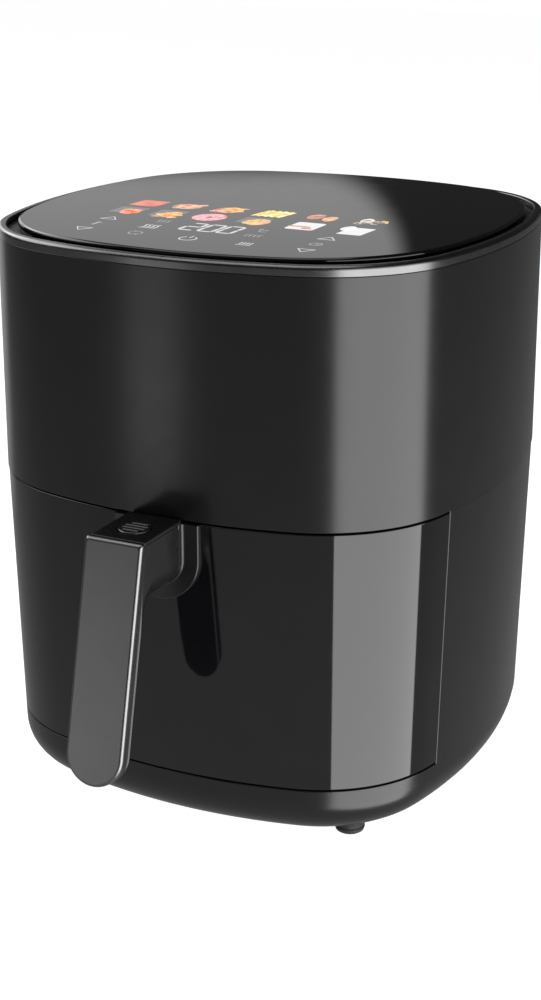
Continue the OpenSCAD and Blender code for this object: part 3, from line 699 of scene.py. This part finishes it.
def add_arm_cover():
    front = leaning(PLATE_T, 0)[0] + 0.6
    side = [(front, ARM_TOP - COVER_T), (COVER_STEP - 3, ARM_TOP - COVER_T),
            (COVER_STEP - 3, UNDER_TOP - COVER_T), (-131, UNDER_TOP - COVER_T), (-131, UNDER_TOP),
            (COVER_STEP, UNDER_TOP), (COVER_STEP, ARM_TOP - 0.1), (front, ARM_TOP - 0.1)]
    cover = raw_mesh("arm_top_cover",
                     stack([[(x, y, z) for y, z in side] for x in (-ARM_R, ARM_R)]))
    bevelled(cover, 0.5, 3)
    hole = [[(x, y, z) for x, y in stadium(BUTTON_Y, BUTTON_HALF, BUTTON_R + 0.3 + flare)]
            for z, flare in ((ARM_TOP - 5, 0), (ARM_TOP - 0.4, 0), (ARM_TOP + 0.1, 0.4))]
    cut_out(cover, stack(hole))
    finish_piece(cover, "drawer", "grip_black", ["arm_cover"])


def add_release_button():
    top = node_box("release_button")[1].z
    edge = 0.9
    levels = [(-1.2, 172), (-1.2, ARM_TOP - COVER_T - 0.1), (0, ARM_TOP - COVER_T - 0.1)]
    levels += [(edge - edge * cos(a), top - edge + edge * sin(a)) for a in QUARTER]
    levels += [(4, top)]
    rings = [[(x, y, z) for x, y in stadium(BUTTON_Y, BUTTON_HALF, BUTTON_R - inset)]
             for inset, z in levels]
    button = raw_mesh("button_cap", stack(rings))
    # Three rounded ribs stand in four scooped grooves.
    for y in (-4.8, -1.6, 1.6, 4.8):
        reach = sqrt((BUTTON_R - 1.4) ** 2 - y * y)
        groove = []
        for x in (-reach, -reach + 0.7, reach - 0.7, reach):
            narrow = 0.9 if abs(x) == reach else 1.5
            groove.append([(x, BUTTON_Y + y + narrow * across, top - drop)
                           for across, drop in ((-1, -0.4), (-0.86, 0.25), (-0.4, 0.7), (0.4, 0.7),
                                                (0.86, 0.25), (1, -0.4))])
        cut_out(button, stack(groove))
    post = [[(x, y, z) for x, y in circle(0, POST_Y, radius, 32)]
            for radius, z in ((1.2, 160.4), (3, 162.4), (3, 172.5))]
    finish_piece(button, "button", "button_black", ["release_button"])
    stem = raw_mesh("button_stem", stack(post))
    finish_piece(stem, "button", "button_black")


def add_collar():
    front, back, top = -137.4, -129, DRAWER_HIGH.z
    outer_r, inner_r = COLLAR_R - 0.05, ARM_R + 0.15
    lip, fillet = 0.8, 1.6
    cross = [(outer_r, back), (outer_r, front + lip), (outer_r - 0.25, front + 0.25),
             (outer_r - lip, front)]
    cross += [(inner_r + fillet - fillet * sin(a), front - fillet + fillet * cos(a))
              for a in QUARTER]
    cross += [(inner_r, back)]
    path = [(-1, 0, z) for z in (top, top - 6, ARM_ROUND_Z + 0.01)]
    path += [(cos(a), sin(a), ARM_ROUND_Z)
             for a in (radians(180 + 180 * i / 48) for i in range(1, 48))]
    path += [(1, 0, z) for z in (ARM_ROUND_Z + 0.01, top - 6, top)]
    rings = [[(r * c, y, z + r * s) for r, y in cross] for c, s, z in path]
    collar = raw_mesh("arm_collar", stack(rings))
    keeper = raw_mesh("latch_keeper", joined(
        box_shape(-3, 3, -137.2, -135.6, ARM_ROUND_Z - ARM_R - 1, 150),
        box_shape(-3, 3, -135.5, -132.2, 147.6, 150)))
    bevelled(keeper, 0.2)
    finish_piece(collar, "drawer", "grip_black", ["handle_collar"], 50)
    finish_piece(keeper, "drawer", "grip_black")


# ---- Display ----

def flat_print(name, loops, material, depth=PRINT_DEPTH):
    """Flat closed outlines printed on the glass, as one thin piece."""
    low, high = TOP_Z - PRINT_DEPTH - 0.02, TOP_Z - PRINT_DEPTH + depth * 0.9
    shapes = [stack([[(x, y, z) for x, y in loop] for z in (low, high)]) for loop in loops]
    piece = raw_mesh(name, joined(*shapes))
    finish_piece(piece, "housing", "display_dark", (), 30, material)


def stroke(path, width, closed=False):
    """A line of that width along the path, as quads that overlap a little at their ends."""
    over = 0.4
    loops = []
    for (x0, y0), (x1, y1) in zip(path, path[1:] + (path[:1] if closed else [])):
        length = hypot(x1 - x0, y1 - y0)
        ux, uy = (x1 - x0) / length * width / 2, (y1 - y0) / length * width / 2
        loops.append([(x0 - uy - ux * over, y0 + ux - uy * over),
                      (x0 + uy - ux * over, y0 - ux - uy * over),
                      (x1 + uy + ux * over, y1 - ux + uy * over),
                      (x1 - uy + ux * over, y1 + ux + uy * over)])
    return loops


# ---- Studio ----

def toward(azimuth, elevation):
    """Unit direction; azimuth 0 is the front, 90 the right side."""
    a, e = radians(azimuth), radians(elevation)
    return Vector((sin(a) * cos(e), -cos(a) * cos(e), sin(e)))


def add_panel(name, azimuth, distance, height, size, radiance, soft, corner=0.02, tilt=0.0,
              aside=0.0, foot_share=1.0):
    """A soft light panel that faces the body's axis; lengths in metres, not seen directly.

    aside moves it to the left as seen from the body, and foot_share is how bright its foot is
    against its top.
    """
    width, tall = size
    mesh = bpy.data.meshes.new(name)
    corners = [(-0.5, -0.5), (0.5, -0.5), (0.5, 0.5), (-0.5, 0.5)]
    mesh.from_pydata([(x * width, y * tall, 0) for x, y in corners], [], [(0, 1, 2, 3)])
    panel = new_object(name, mesh)
    panel.location = Vector((0, AXIS_Y * MM, 0)) + toward(azimuth, 0) * distance
    panel.location += toward(azimuth + 90, 0) * aside
    panel.location.z = height
    panel.rotation_euler = toward(azimuth, tilt).to_track_quat("-Z", "Y").to_euler()
    n = Nodes(name)
    n.tree.nodes.remove(n.shader)

    def vector(operation, source, value=(0, 0, 0)):
        step = n.add("ShaderNodeVectorMath", operation=operation)
        n.link(source, step.inputs[0])
        step.inputs[1].default_value = value
        return step.outputs

    # The light fades outside a rectangle that is smaller all round by the corner and the fade.
    reach = corner + soft
    bright = (width / 2 - reach, tall / 2 - reach, 0)
    beyond = vector("SUBTRACT", vector("ABSOLUTE", n.coordinates)[0], bright)[0]
    outside = vector("LENGTH", vector("MAXIMUM", beyond)[0])["Value"]
    fade = n.span(outside, 0, radiance, reach, corner)
    fade.node.interpolation_type = "SMOOTHSTEP"
    split = n.add("ShaderNodeSeparateXYZ")
    n.link(n.coordinates, split.inputs[0])
    rise = n.span(split.outputs["Y"], min(1.0, foot_share), min(1.0, 1 / foot_share),
                  -tall / 2, tall / 2)
    both = n.add("ShaderNodeMath", operation="MULTIPLY")
    n.link(fade, both.inputs[0])
    n.link(rise, both.inputs[1])
    emission = n.add("ShaderNodeEmission")
    n.link(both.outputs[0], emission.inputs["Strength"])
    # Clear plus light: a panel adds to what is behind it and hides nothing.
    clear = n.add("ShaderNodeAddShader")
    n.link(n.add("ShaderNodeBsdfTransparent").outputs[0], clear.inputs[0])
    n.link(emission.outputs[0], clear.inputs[1])
    n.link(clear.outputs[0], n.tree.nodes["Material Output"].inputs["Surface"])
    mesh.materials.append(n.material)
    panel.visible_camera = False
    panel.visible_shadow = False


def add_studio():
    scene = bpy.context.scene
    scene.view_settings.view_transform = "Standard"
    world = bpy.data.worlds.new("studio")
    scene.world = world
    world.use_nodes = True
    tree = world.node_tree
    link = tree.links.new
    background = tree.nodes["Background"]

    def node(kind, **inputs):
        made = tree.nodes.new(kind)
        for key, value in inputs.items():
            made.inputs[key.replace("_", " ")].default_value = value
        return made

    # Reflections see a dim surround: dark above the horizon, lighter low down and in front.
    way = node("ShaderNodeTexCoord").outputs["Generated"]
    split = node("ShaderNodeSeparateXYZ")
    link(way, split.inputs[0])
    low = node("ShaderNodeMapRange", From_Min=0.06, From_Max=-0.5, To_Min=0.055, To_Max=0.47)
    link(split.outputs["Z"], low.inputs["Value"])
    front = node("ShaderNodeMapRange", From_Min=1.0, From_Max=-1.0, To_Min=0.6, To_Max=1.0)
    link(split.outputs["Y"], front.inputs["Value"])
    dim = node("ShaderNodeMath")
    dim.operation = "MULTIPLY"
    link(low.outputs["Result"], dim.inputs[0])
    link(front.outputs["Result"], dim.inputs[1])
    path = node("ShaderNodeLightPath")
    strength = node("ShaderNodeMapRange", To_Max=1.0)
    link(path.outputs["Is Camera Ray"], strength.inputs["Value"])
    link(dim.outputs[0], strength.inputs["To Min"])
    link(strength.outputs["Result"], background.inputs["Strength"])
    background.inputs["Color"].default_value = (1, 1, 1, 1)

    floor_mesh = bpy.data.meshes.new("floor")
    floor_mesh.from_pydata([(-6, -6, 0), (6, -6, 0), (6, 6, 0), (-6, 6, 0)], [], [(0, 1, 2, 3)])
    floor = new_object("floor", floor_mesh)
    pale = Nodes("pale_floor")
    pale.set(Base_Color=(0.35, 0.35, 0.35, 1), Roughness=0.9, Emission_Color=(1, 1, 1, 1),
             Emission_Strength=0.97)
    floor_mesh.materials.append(pale.material)
    floor.visible_glossy = False
    floor.visible_shadow = False

    add_panel("side_panel", 69, 1.0, -0.28, (1.38, 1.44), 4.6, 0.02)
    add_panel("side_upper_panel", 69, 1.0, 0.62, (1.38, 0.44), 1.6, 0.04)
    add_panel("back_panel", 206.04, 2.0, 0.9, (1.5, 0.66), 0.58, 0.05, 0.14, aside=0.515,
              foot_share=1.4)
    add_panel("front_panel", -27, 1.2, 0.125, (0.34, 0.65), 1.35, 0.06, foot_share=10)
    add_panel("left_panel", -122, 1.6, 0.55, (0.9, 2.0), 2.0, 0.15, foot_share=0.06)
    add_panel("left_high_panel", -88, 1.5, 1.35, (2.2, 1.3), 3.4, 0.2)
    add_panel("top_panel", -60, 0.4, 1.6, (1.6, 1.7), 1.5, 0.2, 0.02, 88)


# ---- Display: keys, digits and pictures printed under the glass ----

def lit(name, color, rough=0.06):
    """A lit print: it glows, and has the glass's gloss."""
    return dish(name, [tuple(c * 0.86 for c in color), color], 700, rough)


def dish(name, stops, scale=300, rough=0.06):
    """A lit picture of food: crumbs and patches in the given colours."""
    n = Nodes(name)
    n.set(Roughness=rough, Emission_Strength=1.0, Base_Color=(0.004, 0.004, 0.004, 1))
    spread = [(0.3 + 0.4 * i / (len(stops) - 1), color) for i, color in enumerate(stops)]
    n.link(n.ramp(n.noise(scale, 5), spread), n.shader.inputs["Emission Color"])
    return n.material


def blob(x, y, half_x, half_y, wobble, seed, steps=30):
    """A closed outline like a lump of food."""
    draw = random.Random(seed)
    waves = [(k, draw.uniform(0.3, 1) * wobble / k, draw.uniform(0, 6.3)) for k in (2, 3, 5)]
    loop = []
    for i in range(steps):
        a = 2 * pi * i / steps
        r = 1 + sum(size * sin(k * a + phase) for k, size, phase in waves)
        loop.append((x + half_x * r * cos(a), y + half_y * r * sin(a)))
    return loop


def slab(x, y, half_x, half_y, radius=1.5, skew=0.0):
    """A round-cornered rectangle, its back edge shifted sideways by skew."""
    loop = []
    u, v = half_x - radius, half_y - radius
    for cx, cy, start in ((u, v, 0), (-u, v, 90), (-u, -v, 180), (u, -v, 270)):
        loop += arc(cx, cy, radius, start, start + 90, 5)
    return [(x + u + skew * v / half_y, y + v) for u, v in loop]


def spots(x, y, half_x, half_y, size, count, seed):
    """Scattered small lumps."""
    draw = random.Random(seed)
    return [blob(x + draw.uniform(-1, 1) * half_x, y + draw.uniform(-1, 1) * half_y,
                 size * draw.uniform(0.7, 1.2), size * draw.uniform(0.6, 1.1), 0.2, seed + i, 12)
            for i in range(count)]


def ring_loops(x, y, outer, inner, squash=0.9, steps=28):
    """A flat ring as wedges end to end."""
    loops = []
    for i in range(steps):
        a, b = 2 * pi * i / steps, 2 * pi * (i + 1) / steps
        loops.append([(x + r * cos(t), y + r * squash * sin(t))
                      for r, t in ((outer, a), (outer, b), (inner, b), (inner, a))])
    return loops


COLUMNS_X = (-69.7, -45.6, -20.0, 6.7, 34.6, 63.0)
ROWS_Y = (-16.0, -40.8)


def add_pictures():
    plate = lit("print_plate", (0.10, 0.105, 0.115))
    white = lit("print_white_dish", (0.78, 0.78, 0.78))
    salmon = dish("print_salmon", [(0.52, 0.07, 0.03), (0.7, 0.13, 0.06), (0.82, 0.2, 0.11)], 140)
    shrimp = dish("print_shrimp", [(0.3, 0.08, 0.04), (0.6, 0.26, 0.15), (0.85, 0.55, 0.42)])
    chicken = dish("print_chicken", [(0.36, 0.10, 0.04), (0.70, 0.33, 0.13), (0.94, 0.66, 0.35)])
    fries = dish("print_fries", [(0.56, 0.3, 0.08), (0.86, 0.62, 0.27), (0.97, 0.87, 0.54)])
    steak = dish("print_steak", [(0.2, 0.04, 0.02), (0.52, 0.15, 0.08), (0.78, 0.36, 0.2)])
    bits = dish("print_bits", [(0.03, 0.02, 0.015), (0.3, 0.2, 0.13), (0.75, 0.66, 0.56)], 420)
    pizza = dish("print_pizza", [(0.45, 0.05, 0.03), (0.78, 0.2, 0.11), (0.96, 0.7, 0.4)])
    pink = dish("print_pink", [(0.6, 0.12, 0.17), (0.85, 0.33, 0.38), (0.95, 0.62, 0.66)], 420)
    cake = dish("print_cake", [(0.5, 0.2, 0.04), (0.78, 0.42, 0.14), (0.92, 0.68, 0.36)])
    yellow = lit("print_yellow", (0.8, 0.55, 0.14))

    def picture(name, column, row, *layers):
        """Layers of outlines drawn about the picture's middle, each a little above the last."""
        middle_x, middle_y = COLUMNS_X[column] + 1.2 * row, ROWS_Y[row]
        for level, (loops, material) in enumerate(layers):
            placed = [[(middle_x + x, middle_y + y) for x, y in loop] for loop in loops]
            flat_print(f"picture_{name}_{level + 1}", placed, material,
                       PRINT_DEPTH * (0.45 + 0.25 * level))

    picture("fillet", 0, 0, ([slab(0, 0, 8.4, 8.6, 1.6, 0.6)], salmon))
    picture("prawns", 1, 0, ([blob(0, 0, 8.8, 8.8, 0.06, 3)], plate),
            ([blob(0.4, 0, 6.8, 7.2, 0.16, 4)] + spots(0, 0, 6.4, 6.4, 2.4, 16, 11), shrimp))
    picture("wings", 2, 0,
            ([blob(0, 0, 7.6, 8, 0.14, 5)] + spots(0, 0, 6.8, 7, 2.6, 16, 23), chicken),
            ([blob(-6, -1.5, 2.8, 3.4, 0.2, 6)], pizza))
    sticks = [slab(-7.6 + 1.9 * i, 0.8 if i % 2 else -0.7, 0.95, 8.6, 0.4, 1.2) for i in range(9)]
    picture("fries", 3, 0, ([slab(0, 0, 8.2, 7.8, 1.6, 0.8)] + sticks, fries))
    picture("steaks", 4, 0, ([blob(-4, 2.0, 4.6, 7.2, 0.18, 8)], steak),
            ([blob(5.2, -1.2, 3.6, 7.6, 0.2, 9)], chicken))
    picture("skewer", 5, 0, ([blob(-3.4, 2.4, 3.4, 6.6, 0.15, 10)], white),
            (spots(0.4, -1.6, 6.4, 6.0, 2.0, 16, 31), bits),
            ([slab(7.4, 2.6, 1.0, 3.2, 0.8, -1.0)], yellow))
    picture("pizza", 0, 1, ([slab(-0.6, 1.6, 8.4, 9.0, 1.8)], plate),
            ([blob(2.0, -1.4, 6.0, 7.6, 0.12, 13)] + spots(2, -1.2, 5.0, 6.4, 2.4, 12, 41), pizza))
    picture("nuggets", 1, 1, ([slab(-0.4, 1.6, 8.4, 9.4, 1.8)], plate),
            ([blob(2.2, -0.8, 5.6, 8.0, 0.16, 14)] + spots(1.4, -1.4, 6.2, 7.2, 2.4, 14, 53),
             chicken))
    picture("ring_cake", 2, 1, (ring_loops(-1.0, 1.0, 9.2, 1.6, 1.12), pink))
    picture("cake", 3, 1, ([slab(-2.0, 2.6, 7.8, 8.2, 1.8)], plate),
            ([blob(2.0, -0.6, 6.2, 8.4, 0.16, 12), blob(-2, -1.6, 4.4, 5.4, 0.2, 17)], cake))
    picture("cutlet", 4, 1, ([slab(1.0, -0.4, 8.0, 10.0, 2.2)], white),
            ([slab(-1.6, -2.2, 6.4, 1.4, 1.2, -0.8), slab(4.2, -6.2, 3.0, 1.6, 1.2, -0.6)], steak))
    picture("cloth", 5, 1, ([slab(2.0, -2.6, 6.6, 9.6, 0.9, 0.4),
                             blob(-4.6, 3.2, 4.0, 6.2, 0.14, 21)], white))


# Which of the seven bars each digit lights: top, upper left, upper right, middle, lower left,
# lower right, bottom.
DIGIT_BARS = {"2": "1011101", "0": "1110111"}


def digit_loops(symbol, x, y, width, height, bar):
    """A seven-bar digit with its lower left corner at x, y; slightly slanted."""
    slant, cut, half = 0.01, bar * 0.12, bar / 2
    middle = height / 2
    ends = [((0, height), (width, height)), ((0, middle), (0, height)),
            ((width, middle), (width, height)), ((0, middle), (width, middle)),
            ((0, 0), (0, middle)), ((width, 0), (width, middle)), ((0, 0), (width, 0))]
    loops = []
    for on, ((ax, ay), (bx, by)) in zip(DIGIT_BARS[symbol], ends):
        if on == "0":
            continue
        if ay == by:
            loop = [(ax + cut, ay), (ax + half + cut, ay + half), (bx - half - cut, ay + half),
                    (bx - cut, ay), (bx - half - cut, ay - half), (ax + half + cut, ay - half)]
        else:
            loop = [(ax, ay + cut), (ax + half, ay + half + cut), (ax + half, by - half - cut),
                    (ax, by - cut), (ax - half, by - half - cut), (ax - half, ay + half + cut)]
        loops.append([(x + u + slant * v, y + v) for u, v in loop])
    return loops


def triangle(x, y, size, way):
    corners = [(x - size, y - way * size * 0.7), (x + size, y - way * size * 0.7),
               (x, y + way * size * 0.8)]
    return stroke(corners, 0.6, closed=True)


def waves(columns, y, width):
    """Upright wavy strokes side by side."""
    height, steps = 7.0, 8
    return [loop for x in columns for loop in stroke(
        [(x + 0.5 * sin(pi * 2 * t / steps), y - height / 2 + height * t / steps)
         for t in range(steps + 1)], width)]


def bars(x, pitch, low, high, width):
    """Four upright strokes side by side."""
    return [loop for i in range(4)
            for loop in stroke([(x + pitch * i, low), (x + pitch * i, high)], width)]


def add_keys():
    white = lit("print_white", (0.62, 0.62, 0.63))
    dimmer = lit("print_grey", (0.36, 0.36, 0.37))
    digits = []
    for i, symbol in enumerate("200"):
        digits += digit_loops(symbol, -18.2 + 10.7 * i, -76.8, 8.0, 18.2, 1.8)
    flat_print("digits", digits, white)
    flat_print("power_key", stroke(arc(-1.4, -97.2, 4.4, 125, 415, 26), 0.7)
               + stroke([(-1.4, -95.4), (-1.4, -90.8)], 0.7), white)
    for name, x, y, way in (("heat_up", -65.4, -64.4, 1), ("heat_down", -63.6, -96.4, -1),
                            ("time_up", 61.6, -66.8, 1), ("time_down", 63.4, -99.6, -1)):
        flat_print(f"{name}_key", triangle(x, y, 4.6, way), white)
    flat_print("heat_mark", stroke([(-64.6, -84.6), (-64.6, -77.0)], 1.6)
               + stroke([(-63.0, -79.0), (-61.6, -79.0)], 0.6), dimmer)
    flat_print("time_mark", stroke(circle(62.2, -83.2, 3.1, 24), 0.6, closed=True)
               + stroke([(62.2, -81.2), (62.2, -83.2), (64.0, -83.2)], 0.6), dimmer)
    flat_print("shake_key", stroke(arc(-32.6, -95.2, 3.6, -20, 120, 12), 0.6)
               + stroke(arc(-32.6, -95.2, 3.6, 160, 300, 12), 0.6)
               + stroke([(-35.2, -90.4), (-34.2, -92.1), (-36.2, -92.7)], 0.6)
               + stroke([(-29.8, -99.8), (-30.9, -98.2), (-28.9, -97.6)], 0.6), dimmer)
    flat_print("preheat_key", waves((-38.0, -35.6, -33.2, -30.8), -75.6, 0.8)
               + stroke([(-39.2, -80.6), (-29.8, -80.6)], 0.8), white)
    flat_print("keep_warm_mark", waves((-38.0, -35.4, -32.8), -61.0, 0.6), dimmer)
    flat_print("degree_mark", stroke(circle(20.6, -59.2, 0.9, 14), 0.5, closed=True)
               + stroke(arc(23.8, -63.2, 2.4, 45, 315, 12), 0.6), dimmer)
    flat_print("minutes_mark", bars(20.6, 2.5, -79.4, -75.8, 0.6)
               + stroke([(20.0, -74.6), (29.2, -74.6)], 0.5), dimmer)
    flat_print("light_key", bars(27.8, 1.9, -98.4, -94.2, 0.7)
               + stroke([(26.8, -100.2), (34.6, -100.2)], 0.7), white)


# ---- Rear, feet, pan and basket ----

def add_air_outlet():
    low, high = node_box("air_outlet")
    half, front, back = high.x, low.y - AXIS_Y, high.y - AXIS_Y
    rim = 4
    bezel = raw_mesh("outlet_frame", box_shape(-half, half, front, back, low.z, high.z))
    bevelled(bezel, 1.2, 4)
    window = box_shape(rim - half, half - rim, front - 5, back + 5, low.z + rim, high.z - rim)
    cut_out(bezel, window)
    finish_piece(bezel, "housing", "base_black", ["air_outlet"])
    tilt = radians(35)
    length, depth, thick = half - rim + 0.4, 8, 1.6
    section = arc(depth / 2 - thick / 2, 0, thick / 2, -90, 90, 8)
    section += arc(thick / 2 - depth / 2, 0, thick / 2, 90, 270, 8)
    for row in range(7):
        centre = low.z + 8.5 + 8.2 * row
        rings = [[(x, 133.5 + u * cos(tilt) - v * sin(tilt),
                   centre + u * sin(tilt) + v * cos(tilt)) for u, v in section]
                 for x in (-length, length)]
        slat = raw_mesh(f"outlet_slat_{row + 1}", stack(rings))
        finish_piece(slat, "housing", "base_black")
    ribs = joined(*[box_shape(x - 1, x + 1, 127.6, 130.6, low.z + 3.4, high.z - 3.4)
                    for x in (-23, 0, 23)])
    ribs = raw_mesh("outlet_ribs", ribs)
    bevelled(ribs, 0.3)
    finish_piece(ribs, "housing", "base_black")


def add_feet():
    low, high = node_box("rubber_feet")
    radius, foot_z = 8, LOWER_BOTTOM
    x, y = high.x - radius, (high.y - low.y) / 2 - radius
    profile = [(radius - 2.2, 0), (radius - 1.4, 0.15), (radius - 0.5, 0.75), (radius - 0.1, 1.8),
               (radius, 3.0), (radius - 0.5, 3.3), (radius - 0.5, 4.1), (radius, 4.4),
               (radius, foot_z - 0.02), (2.8, foot_z - 0.02), (2.8, foot_z + 4.8)]
    feet = [stack([[(u, v, z) for u, v in circle(sx * x, sy * y, r, 56)] for r, z in profile])
            for sx in (-1, 1) for sy in (-1, 1)]
    piece = raw_mesh("feet", joined(*feet))
    finish_piece(piece, "housing", "rubber_black", ["rubber_feet"])


def tray_rings(half, corner, floor_z, rim_z, sheet, bend, rim):
    """Rings of a thin-walled square tray with a bent floor edge and a turned-out rim."""
    def ring(inset, z):
        return [(x, y, z) for x, y in rounded_square(half - inset, corner - inset)]

    levels = [(bend - bend * sin(a), floor_z + bend - bend * cos(a)) for a in QUARTER]
    levels += [(0, rim_z - sheet - 1.0), (-0.3, rim_z - sheet - 0.3), (-1.0, rim_z - sheet)]
    levels += [(-rim + 0.6, rim_z - sheet), (-rim, rim_z - sheet / 2), (-rim + 0.5, rim_z)]
    levels += [(sheet - 1.0, rim_z), (sheet - 0.2, rim_z - 0.4), (sheet, rim_z - 1.2)]
    levels += [(bend - (bend - sheet) * sin(a), floor_z + bend - (bend - sheet) * cos(a))
               for a in reversed(QUARTER)]
    return stack([ring(inset, z) for inset, z in levels])


def add_pan():
    low, high = node_box("pan")
    sheet, rim = 1.2, 4
    half = (high.x - low.x) / 2 - rim
    pan = raw_mesh("pan_body", tray_rings(half, 45, low.z, high.z, sheet, 7, rim))
    cut_out(pan, u_prism(ARM_R + 2, -125, -90, high.z + 5))
    finish_piece(pan, "drawer", "nonstick", ["pan"])


def add_basket():
    low, high = node_box("basket")
    sheet, pitch, hole = 1.2, 18, 4
    half = (high.x - low.x) / 2
    basket = raw_mesh("basket_body", tray_rings(half - 0.9, 39.6, low.z, high.z, sheet, 6, 0.9))
    count = int((half - 14) / pitch)
    holes = []
    for i in range(-count, count + 1):
        for j in range(-count, count + 1):
            if abs(i) + abs(j) < 2 * count - 1:
                loop = circle(i * pitch, j * pitch, hole, 28)
                holes.append(stack([[(x, y, z) for x, y in loop]
                                    for z in (low.z - 2, low.z + 4)]))
    cut_out(basket, joined(*holes))
    finish_piece(basket, "drawer", "nonstick", ["basket"])


def add_camera():
    direction = toward(26.044, 17.15)
    camera = bpy.data.cameras.new("camera")
    camera.lens = 64.817
    camera.sensor_width = 36
    camera.shift_x, camera.shift_y = -0.0058, -0.060
    camera.clip_start, camera.clip_end = 0.05, 30
    shown = new_object("camera", camera)
    shown.location = Vector((0, AXIS_Y * MM, 0.18046)) + direction * 1.01546
    shown.rotation_euler = direction.to_track_quat("Z", "Y").to_euler()
    bpy.context.scene.camera = shown


dress_cad_nodes()
add_upper_shell()
add_seam_ledge()
add_lower_shell()
add_trim_ring()
add_glass()
add_drawer_front()
add_handle_plate()
add_handle_grip()
add_arm_cover()
add_release_button()
add_collar()
add_pictures()
add_keys()
add_air_outlet()
add_feet()
add_pan()
add_basket()
add_studio()
add_camera()
